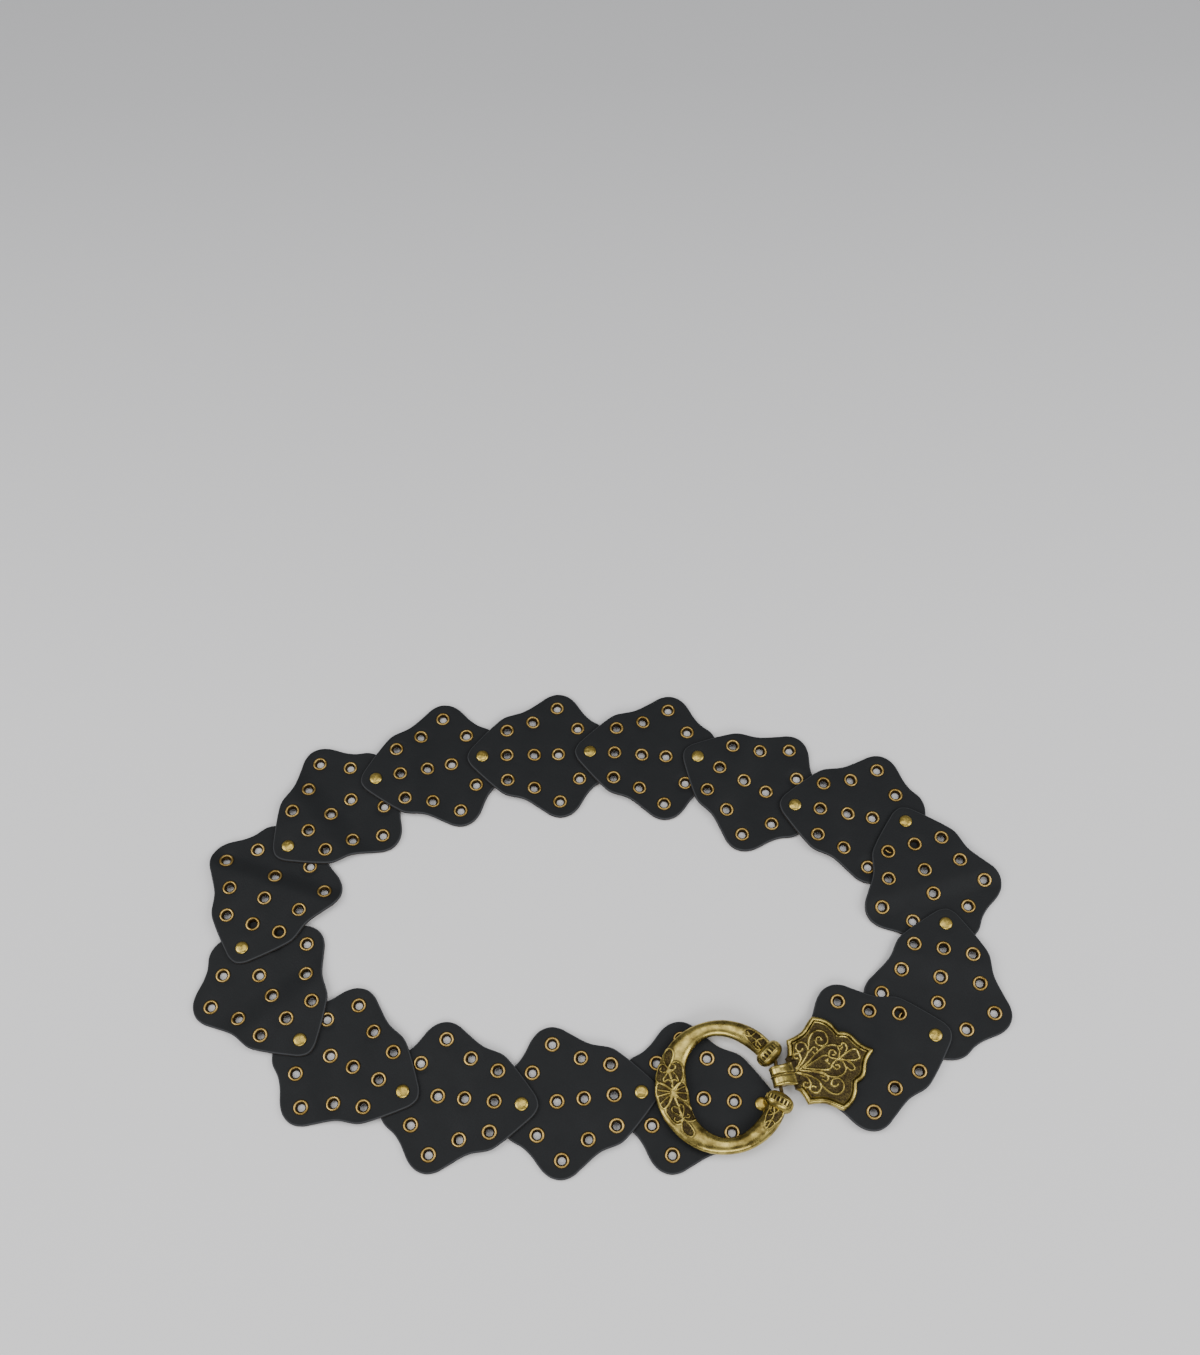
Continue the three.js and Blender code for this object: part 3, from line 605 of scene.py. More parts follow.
def leather_shape(index):
    """A plate: `layer` is 1 on its top face, `edge` the distance from its outline."""
    plan, tris, edge = leather_plan(tuple(plate_eyelets(index)))
    base = underside(index, plan[:, 0])
    wave = WAVE * clouds(plan, WAVE_SIZE, WAVE_LAYER * index) * ease(edge / WAVE_EDGE)
    low = base + rounded(edge, EDGE_ROUND_BACK)
    high = base + LEATHER - rounded(edge, EDGE_ROUND) - dimples(index, plan) + wave
    points, faces = sheet(plan, tris, low, high)
    points[:, :2] = turned(points[:, :2], TURNS[index]) + PLACES[index]
    n = len(plan)
    layers = {
        "layer": np.concatenate([np.ones(n), np.zeros(n)]),
        "edge": np.concatenate([edge, edge]),
    }
    return points, faces, layers


# Eyelets and rivets.

# Rolled rim of an eyelet: radius, height over the leather, crest (1) or recess (0).
EYELET_PROFILE = [
    (2.3, -2.02, 0.0), (3.7, -2.02, 0.1), (3.7, -1.9, 0.1), (2.72, -1.86, 0.0),
    (2.72, -0.3, 0.0), (4.4, -0.22, 0.0), (4.6, -0.08, 0.0), (4.58, 0.14, 0.0), (4.4, 0.36, 0.1),
    (4.15, 0.54, 0.45), (3.85, 0.65, 0.95), (3.55, 0.66, 1.0), (3.28, 0.54, 0.6), (3.05, 0.28, 0.15),
    (2.88, -0.05, 0.0), (2.7, -0.45, 0.0), (2.5, -0.9, 0.0), (2.28, -1.4, 0.0), (2.18, -1.9, 0.0),
]
EYELET_SINK_PRESSED = 0.5
EYELET_STEPS = 36

# Each eyelet is a little out of round and flat.
OVAL = 0.012
WARP = 0.02
SLOPE_STEP = 0.5
BELOW_LEATHER = 0.05


def eyelet_form(rng):
    """An eyelet about its own axis, with how near the crest each point lies."""
    profile = np.array(EYELET_PROFILE)
    points, faces = looped_lathe(profile[:, :2], EYELET_STEPS)
    crest = np.repeat(profile[:, 2], EYELET_STEPS)
    points[:, 0] *= 1 + rng.uniform(-OVAL, OVAL)
    angle = np.arctan2(points[:, 1], points[:, 0])
    points[:, 2] += WARP * np.sin(angle * 2 + rng.uniform(0, 6.28)) * (crest > 0.1)
    return points, faces, crest


def eyelet_shape(index, along, out, rng):
    points, faces, crest = eyelet_form(rng)
    ahead, behind = underside(index, along + SLOPE_STEP), underside(index, along - SLOPE_STEP)
    slope = float((ahead - behind) / (2 * SLOPE_STEP))
    points = points @ np.array(Matrix.Rotation(-math.atan(slope), 3, "Y")).T
    sink = EYELET_SINK_PRESSED if is_pressed(index, along, out) else 0.0
    base = float(underside(index, along))
    centre = np.array([along, out])
    points[:, :2] = turned(points[:, :2] + centre, TURNS[index]) + PLACES[index]
    points[:, 2] += base + LEATHER - sink
    points[:, 2] = np.maximum(points[:, 2], base - BELOW_LEATHER)
    return points, faces, {"crest": crest}


# Cap of a rivet: radius, height over the leather's top.
CAP_PROFILE = [
    (0.02, 1.18), (0.7, 1.17), (1.4, 1.14), (2.1, 1.08), (2.7, 0.99), (3.2, 0.86), (3.6, 0.66),
    (3.88, 0.4), (4.0, 0.12), (3.98, -0.12), (3.7, -0.2),
]
# Its foot: radius, height over the floor.
FOOT_PROFILE = [
    (1.5, 0.62), (2.6, 0.6), (3.2, 0.5), (3.4, 0.28), (3.3, 0.06), (3.0, 0.0), (0.02, 0.0),
]
RIVET_STEPS = 48
POST_R = 1.5

# Shallow dents of a cap, which fade towards its edge.
DENT = 0.14
DENTS_PER_MM = 0.55
DENT_END = 3.6
DENT_FADE = 1.2


def rivet_shape(index, rng):
    top = FLOOR_TOP if index == LAST else TIP_TOP
    cap = [(r, top + z) for r, z in CAP_PROFILE]
    profile = np.array(cap + [(POST_R, top - 0.2)] + FOOT_PROFILE)[::-1]
    points, faces = closed_lathe(profile, RIVET_STEPS)
    phase = rng.uniform(0, 100)
    r = np.hypot(points[:, 0], points[:, 1])
    on_cap = (points[:, 2] > top + 0.3) & (r > 0.1)
    spots = points[:, :2] * DENTS_PER_MM
    dents = np.array([noise.noise(Vector((x, y, phase))) for x, y in spots])
    points[:, 2] += np.where(on_cap, DENT * dents * ease((DENT_END - r) / DENT_FADE), 0)
    points[:, :2] += PLACES[index]
    return points, faces, {"crest": np.where(points[:, 2] > top + 0.2, 1.0, 0.2)}


# The clasp's frames.

def reach_along(index, distance):
    """The plan place at a distance from a plate's tip rivet along the plate."""
    return PLACES[index] + turned([distance, 0], TURNS[index])


# Frames as a turn and a shift in plan: the clasp's in the world, the others in the clasp's.
CLASP_FRAME = (TURNS[0] + 180, reach_along(0, HINGE_REACH))
SHIELD_FRAME = (SHIELD_SKEW, np.array([0, HINGE_SHIFT]))
RING_FRAME = (HINGE_SKEW, np.array([0, HINGE_SHIFT]))


def placed(shape, *frames):
    """A shape moved out of one frame after another."""
    points, faces, layers = shape
    points = np.array(points, float)
    for degrees, shift in frames:
        points[:, :2] = turned(points[:, :2], degrees) + shift
    return points, faces, layers


def from_chart(line, origin, own_frame):
    """A charted line in the frame of the shield or the ring."""
    degrees, shift = own_frame
    return turned(line + np.array(origin) - shift, -degrees)


def on_band(row):
    """A row of the wide part in its place, to a tenth of a millimetre."""
    row = np.array(row)
    return np.round(row + BAND_SHIFT + (BAND_TOP - row[:, 1:]) * BAND_DRIFT, 1)


def on_arm(row):
    """A row of an arm in its place, to a tenth of a millimetre."""
    row = np.array(row)
    if row[0, 1] < 0:
        return np.round(row + LOWER_ARM_SHIFT, 1)
    spun = turned(row - UPPER_ARM_MIDDLE, UPPER_ARM_TURN) + UPPER_ARM_MIDDLE
    return np.round(spun + UPPER_ARM_SHIFT, 1)


def ring_lines(band_rows, arm_rows, closed=False):
    """Smooth lines of the ring's ornament, in the ring's own frame."""
    rows = [on_band(row) for row in band_rows] + [on_arm(row) for row in arm_rows]
    return [from_chart(smooth_line(row, closed=closed), RING_CHART, RING_FRAME) for row in rows]


# Cast relief.

WIRE_HALF = 0.58
WIRE_HEIGHT = 0.66
WIRE_ROUND = 0.7
GROUND_DEPTH = 0.24
RUBBED = 0.26
RUB_GAIN = 2.2


def lay_wires(plan, lines, half, height, closed=False):
    """Height of round wires along lines over plan points."""
    rise = np.zeros(len(plan))
    for line in lines:
        low, high = line.min(axis=0) - half, line.max(axis=0) + half
        near = np.all((plan > low) & (plan < high), axis=1)
        if not near.any():
            continue
        d = line_distance(plan[near], line, closed) / half
        rise[near] = np.maximum(rise[near], height * np.clip(1 - d * d, 0, 1) ** WIRE_ROUND)
    return rise


def aged(ground):
    """How dark the ground is: the tops of its bumps are rubbed brighter."""
    return 1 - RUBBED * np.clip(RUB_GAIN * ground, 0, 1)


# Shield.

SHIELD_STEP = 0.3
# Across the shield's edge: distance in from the outline, height.
SHIELD_RIM_PROFILE = [
    (0.0, 6.6), (0.12, 7.15), (0.4, 7.72), (0.85, 8.14), (1.4, 8.36), (1.9, SHIELD_RIM),
    (2.3, 8.2), (2.55, 7.7), (2.75, 7.1), (2.95, 7.3), (3.2, 7.62), (3.45, 7.45),
    (3.65, SHIELD_FIELD),
]
SHIELD_GROOVE = 2.75
GROOVE_WIDTH = 0.22

# The field inside the rim, with its swell and the size and pattern of its punched ground.
FIELD_FROM = 3.45
FIELD_FADE = 0.3
SHIELD_DOME = 0.35
DOME_FROM = 2.6
DOME_REACH = 12
SHIELD_STIPPLE = (0.5, 1.0)
WIRE_BARE = 0.26
CAST_BACK_DARK = 0.5

# The neck runs under the strap and has no rim.
NECK_X = 11
NECK_Y = 9.5
NECK_EDGE = 7.0


def shield_outline():
    """The shield's outline, anticlockwise, with its corners kept."""
    lines = [smooth_line(run, step=0.3) for run in SHIELD_RUNS]
    runs = [evenly(line, SHIELD_STEP, closed=False)[:-1] for line in lines]
    upper = np.vstack(runs + [SHIELD_RUNS[-1][-1:]])
    return np.vstack([upper, upper[::-1][:-1] * np.array([1, -1])])


def rim_spots(outline):
    """Points that follow the rim at the distances where its profile bends."""
    rows = []
    for distance, _ in SHIELD_RIM_PROFILE[1:]:
        line = inset(outline, distance)
        rows.append(line[np.abs(line_distance(line, outline, True) - distance) < 0.03])
    return np.vstack(rows)


def shield_plan():
    """Plan triangles of the shield, and how far in from the outline each point lies."""
    outline = shield_outline()
    (x0, y0), (x1, y1) = outline.min(axis=0), outline.max(axis=0)
    xs, ys = np.meshgrid(np.arange(x0, x1, SHIELD_STEP), np.arange(y0, y1, SHIELD_STEP))
    spots = np.column_stack([xs.ravel(), ys.ravel()])
    spots = spots[inside(spots, outline)]
    far = line_distance(spots, outline, True)
    spots = spots[far > SHIELD_RIM_PROFILE[-1][0] + SHIELD_STEP / 2]
    spots = np.vstack([spots, rim_spots(outline)])
    plan, tris = plan_triangles([outline], spots, outline, [])
    return plan, tris, line_distance(plan, outline, True)


def shield_shape():
    """The plate with its rim, wires and punched ground, in its own frame."""
    plan, tris, edge = shield_plan()
    neck = (plan[:, 0] < NECK_X) & (np.abs(plan[:, 1]) < NECK_Y)
    rim = np.interp(edge, *np.array(SHIELD_RIM_PROFILE).T)
    high = np.where(neck, np.where(edge < 0.01, NECK_EDGE, SHIELD_FIELD), rim)
    lines = [smooth_line(row, step=0.35) for row in SHIELD_WIRES]
    lines = [from_chart(line, SHIELD_CHART, SHIELD_FRAME) for line in lines]
    wires = lay_wires(plan, lines, WIRE_HALF, WIRE_HEIGHT)
    field = np.where(neck, 1, ease((edge - FIELD_FROM) / FIELD_FADE))
    ground = clouds(plan, *SHIELD_STIPPLE)
    dome = SHIELD_DOME * ease((edge - DOME_FROM) / DOME_REACH)
    high = high + field * (np.maximum(wires, GROUND_DEPTH * ground) + dome)
    points, faces = sheet(plan, tris, np.full(len(plan), SHIELD_BACK), high)
    groove = bell(edge - SHIELD_GROOVE, GROOVE_WIDTH) * ~neck
    bare = 1 - np.clip(wires / (WIRE_BARE * WIRE_HEIGHT), 0, 1)
    recess = np.maximum(field * bare * aged(ground), groove)
    back = np.full(len(plan), CAST_BACK_DARK)
    return points, faces, {"recess": np.concatenate([recess, back])}


# Strap of the shield round the pin: x and z of its outer face, then y of its two sides.
STRAP = [
    (12.4, 7.1, -8.2, 6.2), (10.6, 7.9, -8.5, 6.0), (8.8, 8.6, -8.6, 5.6), (6.8, 9.9, -8.1, 4.9),
    (5.0, 11.2, -7.6, 4.5), (3.0, 12.15, -7.3, 4.4), (0.6, 12.5, -7.2, 4.4), (-1.6, 12.2, -7.2, 4.4),
    (-3.3, 11.0, -7.2, 4.4), (-4.2, 9.2, -7.2, 4.4), (-4.2, 7.2, -7.2, 4.4), (-3.3, 5.4, -7.2, 4.4),
    (-1.6, 4.2, -7.2, 4.4), (0.6, 3.9, -7.2, 4.4), (2.8, 4.4, -7.2, 4.4), (4.6, 5.45, -7.4, 4.4),
    (8.0, 5.45, -7.8, 5.0), (11.0, 5.5, -8.0, 5.6),
]
STRAP_STEP = 0.45
STRAP_EDGE = 0.6
STRAP_SMOOTHING = 9
# Shares of its width, closer together at the rounded edges.
STRAP_SHARES = np.concatenate([
    [0, 0.004, 0.015, 0.03, 0.05], np.linspace(0.07, 0.93, 44), [0.95, 0.97, 0.985, 0.996, 1],
])

# Across the strap: the place, height or depth, and width of a ridge, of a groove on either
# side of it, and of a lip inside each edge.
RIDGE = (-1.25, 0.45, 0.34)
BESIDE_RIDGE = (0.75, 0.2, 0.3)
LIP = (0.9, 0.22, 0.5)

# Past this x the strap's upper face is aged, but for the ridge.
STRAP_BRIGHT = 8.6
BRIGHT_FADE = 1.6
RIDGE_BRIGHT = 0.36


def strap_route():
    """The strap's outer face as a loop: points, outward directions, its two sides."""
    rows = np.array(STRAP)
    route = evenly(smooth_line(rows[:, :2], closed=True, step=0.3), STRAP_STEP)
    sides = np.array([rows[np.argmin(np.hypot(*(rows[:, :2] - p).T))][2:] for p in route])
    half = STRAP_SMOOTHING // 2
    kernel = np.ones(STRAP_SMOOTHING) / STRAP_SMOOTHING
    padded = np.vstack([sides[-half:], sides, sides[:half]])
    sides = np.column_stack([np.convolve(padded[:, k], kernel, "valid") for k in range(2)])
    tangent = np.roll(route, -1, 0) - np.roll(route, 1, 0)
    tangent /= np.linalg.norm(tangent, axis=1)[:, None]
    return route, np.column_stack([tangent[:, 1], -tangent[:, 0]]), sides


def strap_row(place, normal, sides):
    """Points across the strap at one place on its route, and how dark each is."""
    low, high = sides
    y = low + (high - low) * STRAP_SHARES
    end = np.minimum(y - low, high - y)
    off = y - RIDGE[0]
    groove = bell(np.abs(off) - BESIDE_RIDGE[0], BESIDE_RIDGE[2])
    lift = RIDGE[1] * bell(off, RIDGE[2]) - BESIDE_RIDGE[1] * groove
    lift += LIP[1] * bell(end - LIP[0], LIP[2]) - rounded(end, STRAP_EDGE)
    xz = place + lift[:, None] * normal
    dark = ease((xz[:, 0] - STRAP_BRIGHT) / BRIGHT_FADE) * (place[1] > SHIELD_BACK + 1)
    dark = dark * (1 - bell(off, RIDGE_BRIGHT))
    points = np.column_stack([xz[:, 0], y, xz[:, 1]])
    return points, np.clip(np.maximum(groove, dark), 0, 1)


def strap_shape():
    """The strap as loops of points, closed at its two sides by fans about a hub."""
    route, normal, sides = strap_route()
    rows = [strap_row(*row) for row in zip(route, normal, sides)]
    x, z = route.mean(axis=0)
    low, high = np.array(STRAP)[:, 2:].mean(axis=0)
    loops = np.stack([points for points, _ in rows], axis=1).reshape(-1, 3)
    recess = np.stack([dark for _, dark in rows], axis=1).ravel()
    steps, last = len(route), len(loops) - len(route)
    faces = grid_faces(len(STRAP_SHARES), steps)
    for i in range(steps):
        j = (i + 1) % steps
        faces.append((len(loops), j, i))
        faces.append((len(loops) + 1, last + i, last + j))
    points = np.vstack([loops, [(x, low, z), (x, high, z)]])
    recess = np.concatenate([recess, [CAST_BACK_DARK] * 2])
    return outward((points, faces, {"recess": recess}))


# Ring.

# Rows round the ring, in degrees: from, to, step; fine where the ornament is.
RING_ROWS = [(24, 50, 0.3), (50, 128, 1.5), (128, 232, 0.3), (232, 310, 1.5), (310, 336.01, 0.3)]
RING_TOP = 92
RING_UNDER = 14
SECTION_POWER = 2.35
MIDDLE = 0.34
UPPER_FACE = 0.02

# Its ornament: sunk panels with a punched ground, wires, and a dark band beside them.
PANEL_SUNK = 0.5
RING_STIPPLE = (0.6, 5.0)
RING_GROUND = 0.14
RING_WIRE_HALF = 0.58
RING_WIRE_HEIGHT = 0.62
INNER_WIRE_HALF = RING_WIRE_HALF * 0.9
WIRE_FOOT = 0.12
WIRE_SUNK = 0.3
WIRE_CLEAN = 0.16
BESIDE_HALF = 1.3
BESIDE_DARK = 0.8
BESIDE_DARKEST = 0.6


def ring_sections(degrees):
    at = np.minimum(np.abs((degrees + 180) % 360 - 180), 180)
    rows = np.array(RING_SECTIONS, float)
    mirrored = np.vstack([rows, rows[-2::-1]])
    mirrored[len(rows):, 0] = 360 - mirrored[len(rows):, 0]
    values = []
    for k in (1, 2, 3):
        line = smooth_line(mirrored[:, [0, k]], step=1.0)
        values.append(np.interp(at, line[:, 0], line[:, 1]))
    return values


def ring_grid():
    """The plain ring: rows of points across it, outward directions, and what faces up."""
    degrees = np.concatenate([np.arange(*row) for row in RING_ROWS])
    inner, outer, top = ring_sections(degrees)
    phi = np.concatenate([
        np.linspace(math.pi, 0, RING_TOP, endpoint=False),
        np.linspace(0, -math.pi, RING_UNDER, endpoint=False),
    ])
    power = 2 / SECTION_POWER
    side = np.sign(np.cos(phi)) * np.abs(np.cos(phi)) ** power
    lift = np.sign(np.sin(phi)) * np.abs(np.sin(phi)) ** power
    r = inner[:, None] + (outer - inner)[:, None] * (1 + side) / 2
    z = RING_BACK + top[:, None] * (MIDDLE + np.where(lift > 0, (1 - MIDDLE), MIDDLE) * lift)
    a = np.radians(degrees)[:, None]
    grid = np.stack([RING_CENTRE + r * np.cos(a), r * np.sin(a), z], axis=-1)
    across = np.roll(grid, -1, axis=1) - np.roll(grid, 1, axis=1)
    normal = np.cross(across, np.gradient(grid, degrees, axis=0))
    normal /= np.linalg.norm(normal, axis=-1)[..., None]
    return grid, normal, np.broadcast_to(lift > UPPER_FACE, grid.shape[:2])


def ring_relief(plan, facing):
    """How far the ornament lifts each point of the ring, and how dark it is there."""
    leaves = ring_lines(RING_LEAVES, ARM_LEAVES, closed=True)
    lines = ring_lines(RING_WIRES, ARM_WIRES)
    panel = np.any([inside(plan, leaf) for leaf in leaves], axis=0) & facing
    wires = np.maximum(
        lay_wires(plan, leaves, RING_WIRE_HALF, RING_WIRE_HEIGHT, closed=True),
        lay_wires(plan, lines, INNER_WIRE_HALF, RING_WIRE_HEIGHT))
    wires = np.where(facing, wires, 0)
    ground = clouds(plan, *RING_STIPPLE)
    sunk = np.where(panel, RING_GROUND * ground - PANEL_SUNK, 0)
    lift = np.where(wires > WIRE_FOOT, wires - WIRE_SUNK, sunk)
    dark = np.where(panel, (1 - np.clip(wires / WIRE_CLEAN, 0, 1)) * aged(ground), 0)
    beside = BESIDE_DARK * lay_wires(plan, leaves, BESIDE_HALF, 1.0, closed=True)
    flat = facing & ~panel & (wires < 0.1)
    return lift, np.where(flat, np.clip(beside, 0, BESIDE_DARKEST), dark)


def ring_band_shape():
    grid, normal, facing = ring_grid()
    lift, dark = ring_relief(grid[..., :2].reshape(-1, 2), facing.ravel())
    points = grid.reshape(-1, 3) + lift[:, None] * normal.reshape(-1, 3)
    rows, steps = grid.shape[:2]
    faces = grid_faces(rows, steps) + end_faces(rows, steps)
    return outward((points, faces, {"recess": dark}))


BEAD_STEPS = 288
BEAD_ROWS = 72
# Its rows crowd towards the ends, and its profile is a superellipse.
ROW_CROWDING = 1.3
BEAD_POWER = 2.6
BEAD_ROUND = 2.1
BEAD_TIP = 0.02

# Slots round its belt, and the fine lines that bound it. Its ends are darker.
SLOT_COUNT = 22
SLOT_WIDEN = 0.3
SLOT_WALL = 0.35
SLOT_HALF_LENGTH = 1.3
SLOT_END = 0.3
SLOT_DEPTH, SLOT_DARK = 1.0, 2.0
BELT_HALF = 2.0
LINE_DEPTH, LINE_DARK, LINE_WIDTH = 0.14, 0.4, 0.22
END_FROM, END_DARK = 0.86, 0.6


def bead_shape(side):
    """A swollen drum with a slotted belt round its middle, its axis along the arm."""
    t = np.linspace(-1, 1, BEAD_ROWS)
    along = BEAD_HALF * np.sign(t) * (1 - (1 - np.abs(t)) ** ROW_CROWDING)
    swell = np.clip(1 - np.abs(along / BEAD_HALF) ** BEAD_POWER, 0, 1)
    radius = np.maximum(BEAD_R * swell ** (1 / BEAD_ROUND), BEAD_TIP)
    around = 2 * math.pi * np.arange(BEAD_STEPS) / BEAD_STEPS
    h, a = np.meshgrid(along, around, indexing="ij")
    line = bell(np.abs(h) - BELT_HALF, LINE_WIDTH)
    slot = ease((np.cos(a * SLOT_COUNT) + SLOT_WIDEN) / SLOT_WALL)
    slot = slot * ease((SLOT_HALF_LENGTH + SLOT_END / 2 - np.abs(h)) / SLOT_END)
    r = radius[:, None] - LINE_DEPTH * line - SLOT_DEPTH * slot
    points = np.stack([h, r * np.cos(a), r * np.sin(a) * BEAD_FLATTEN], axis=-1).reshape(-1, 3)
    end = ease((np.abs(h) - BEAD_HALF * END_FROM) / (BEAD_HALF * (1 - END_FROM)))
    recess = np.maximum(np.clip(slot * SLOT_DARK + line * LINE_DARK, 0, 1), end * END_DARK)
    place = np.array([BEAD_X, side * BEAD_Y])
    points[:, :2] = turned(points[:, :2], 90 + BEAD_LEAN * side) + place
    points[:, 2] += HINGE_Z
    faces = grid_faces(BEAD_ROWS, BEAD_STEPS) + end_faces(BEAD_ROWS, BEAD_STEPS)
    return outward((points, faces, {"recess": recess.ravel()}))


def hook_shape():
    """The peg under the ring, in the end plate's third centre eyelet."""
    profile = [(0.02, HOOK_LOW), (HOOK_R - 0.5, HOOK_LOW), (HOOK_R, HOOK_LOW + 0.6),
               (HOOK_R, RING_BACK + 0.6), (HOOK_R + 0.8, RING_BACK + 1.2)]
    points, faces = closed_lathe(profile, 32)
    points[:, :2] += reach_along(LAST, EYELETS[2][0])
    return points, faces, {"recess": np.full(len(points), 0.3)}


# Materials. Colours are linear red, green and blue; a pair runs from dark to light.

LEATHER_FACE = ((0.0085, 0.0095, 0.0105), (0.0125, 0.0135, 0.0145))
# Painted highlight: the lighter grey that the face turns along its rounded edge.
LEATHER_EDGE_HIGHLIGHT = (0.055, 0.057, 0.061)
LEATHER_RAW = ((0.085, 0.052, 0.034), (0.2, 0.14, 0.1))
LEATHER_FIBRE = ((0.02, 0.016, 0.013), (0.05, 0.04, 0.033))
# How much of that painted edge highlight is mixed into the face.
EDGE_HIGHLIGHT_SHARE = 0.9
LEATHER_ROUGH = (0.54, 0.66)
BACK_ROUGH = (0.9, 0.9, 0.9)
PATINA_ROUGH = (0.62, 0.62, 0.62)
DULL_SPECULAR = 0.2


def new_material(name):
    material = bpy.data.materials.new(name)
    material.use_nodes = True
    tree = material.node_tree
    shader = next(n for n in tree.nodes if n.type == "BSDF_PRINCIPLED")
    return material, tree, shader


def node(tree, kind, **inputs):
    made = tree.nodes.new(kind)
    for key, value in inputs.items():
        made.inputs[key].default_value = value
    return made


def attribute(tree, name):
    made = tree.nodes.new("ShaderNodeAttribute")
    made.attribute_name = name
    return made.outputs["Fac"]


def feed_place(tree, socket):
    """Links a socket to the object's own coordinates."""
    tree.links.new(tree.nodes.new("ShaderNodeTexCoord").outputs["Object"], socket)


def noise_value(tree, scale, detail=4.0, rough=0.55):
    made = node(tree, "ShaderNodeTexNoise", Scale=scale, Detail=detail, Roughness=rough)
    feed_place(tree, made.inputs["Vector"])
    return made.outputs["Fac"]


def ramp(tree, source, stops):
    """Greys by a value; each stop is (position, grey)."""
    made = tree.nodes.new("ShaderNodeValToRGB")
    while len(made.color_ramp.elements) < len(stops):
        made.color_ramp.elements.new(0.5)
    for element, (position, grey) in zip(made.color_ramp.elements, stops):
        element.position = position
        element.color = (grey, grey, grey, 1)
    tree.links.new(source, made.inputs["Fac"])
    return made.outputs["Color"]


def feed(tree, socket, value):
    """Links a socket to another one, or sets it to a number or a colour."""
    if isinstance(value, bpy.types.NodeSocket):
        tree.links.new(value, socket)
    elif isinstance(value, tuple):
        socket.default_value = (*value, 1)
    else:
        socket.default_value = value


def mix(tree, factor, first, second, mode="MIX"):
    """Two colours mixed: sockets 6 and 7 take them, and output 2 gives the result."""
    made = tree.nodes.new("ShaderNodeMix")
    made.data_type = "RGBA"
    made.blend_type = mode
    feed(tree, made.inputs["Factor"], factor)
    feed(tree, made.inputs[6], first)
    feed(tree, made.inputs[7], second)
    return made.outputs[2]


def times(tree, value, factor):
    made = tree.nodes.new("ShaderNodeMath")
    made.operation = "MULTIPLY"
    feed(tree, made.inputs[0], value)
    feed(tree, made.inputs[1], factor)
    return made.outputs[0]


def bump(tree, height, strength, distance, normal=None):
    made = node(tree, "ShaderNodeBump", Strength=strength, Distance=distance)
    tree.links.new(height, made.inputs["Height"])
    if normal is not None:
        tree.links.new(normal, made.inputs["Normal"])
    return made.outputs["Normal"]


def dress(tree, shader, colour, rough, normal):
    tree.links.new(colour, shader.inputs["Base Color"])
    tree.links.new(rough, shader.inputs["Roughness"])
    tree.links.new(normal, shader.inputs["Normal"])


def leather_colour(tree):
    """A smooth dark face with a painted highlight along its rounded edge, and a raw brown edge and
    back.
    """
    side = ramp(tree, attribute(tree, "layer"), [(0.0, 1.0), (0.32, 1.0), (0.46, 0.0)])
    edge = attribute(tree, "edge")
    face = mix(tree, noise_value(tree, 28.0, 3.0), *LEATHER_FACE)
    # Painted highlight: near the outline the face is mixed towards a lighter grey, by the edge
    # distance.
    edge_highlight = ramp(tree, edge, [(0.0, 0.15), (0.35, 1.0), (0.95, 0.0)])
    face = mix(tree, times(tree, edge_highlight, EDGE_HIGHLIGHT_SHARE), face, LEATHER_EDGE_HIGHLIGHT)
    raw = mix(tree, noise_value(tree, 500.0), *LEATHER_RAW)
    fibre = mix(tree, noise_value(tree, 260.0, 6.0), *LEATHER_FIBRE)
    under = ramp(tree, edge, [(0.0, 0.0), (0.25, 0.0), (0.6, 1.0)])
    return side, mix(tree, side, face, mix(tree, under, raw, fibre))


def leather_grain(tree):
    cells = node(tree, "ShaderNodeTexVoronoi", Scale=620.0)
    cells.feature = "DISTANCE_TO_EDGE"
    feed_place(tree, cells.inputs["Vector"])
    pores = ramp(tree, cells.outputs["Distance"], [(0.0, 0.0), (0.25, 1.0)])
    coarse = bump(tree, noise_value(tree, 55.0, 5.0, 0.6), 0.35, 0.0006)
    fine = bump(tree, pores, 0.25, 0.00012, coarse)
    return bump(tree, noise_value(tree, 900.0, 3.0, 0.6), 0.35, 0.00012, fine)


def leather_material():
    material, tree, shader = new_material("charcoal_leather")
    side, colour = leather_colour(tree)
    low, high = LEATHER_ROUGH
    rough = ramp(tree, noise_value(tree, 60.0, 4.0), [(0.3, low), (0.7, high)])
    dress(tree, shader, colour, mix(tree, side, rough, BACK_ROUGH), leather_grain(tree))
    shader.inputs["Specular IOR Level"].default_value = DULL_SPECULAR
    return material


def metal_material(name, colours, mask, rough, scale=300.0):
    """Brass with patina where `mask` says and a clouded, lightly hammered finish."""
    light, dark, patina = colours
    low, high = rough
    material, tree, shader = new_material(name)
    shader.inputs["Metallic"].default_value = 1.0
    cloud = ramp(tree, noise_value(tree, 120.0, 5.0, 0.65), [(0.38, 0.0), (0.62, 1.0)])
    face = mix(tree, cloud, dark, light)
    held = attribute(tree, mask)
    if mask == "crest":
        held = ramp(tree, held, [(0.0, 1.0), (0.4, 0.6), (0.85, 0.0)])
    speck = ramp(tree, noise_value(tree, 700.0, 4.0), [(0.35, 0.88), (0.65, 1.0)])
    colour = mix(tree, mix(tree, 1.0, held, speck, "MULTIPLY"), face, patina)
    gloss = ramp(tree, noise_value(tree, 260.0, 5.0, 0.6), [(0.3, low), (0.7, high)])
    hammered = bump(tree, noise_value(tree, scale, 3.0), 0.16, 0.0003)
    scratched = bump(tree, noise_value(tree, 2600.0, 3.0), 0.2, 0.00006, hammered)
    dress(tree, shader, colour, mix(tree, held, gloss, PATINA_ROUGH), scratched)
    return material


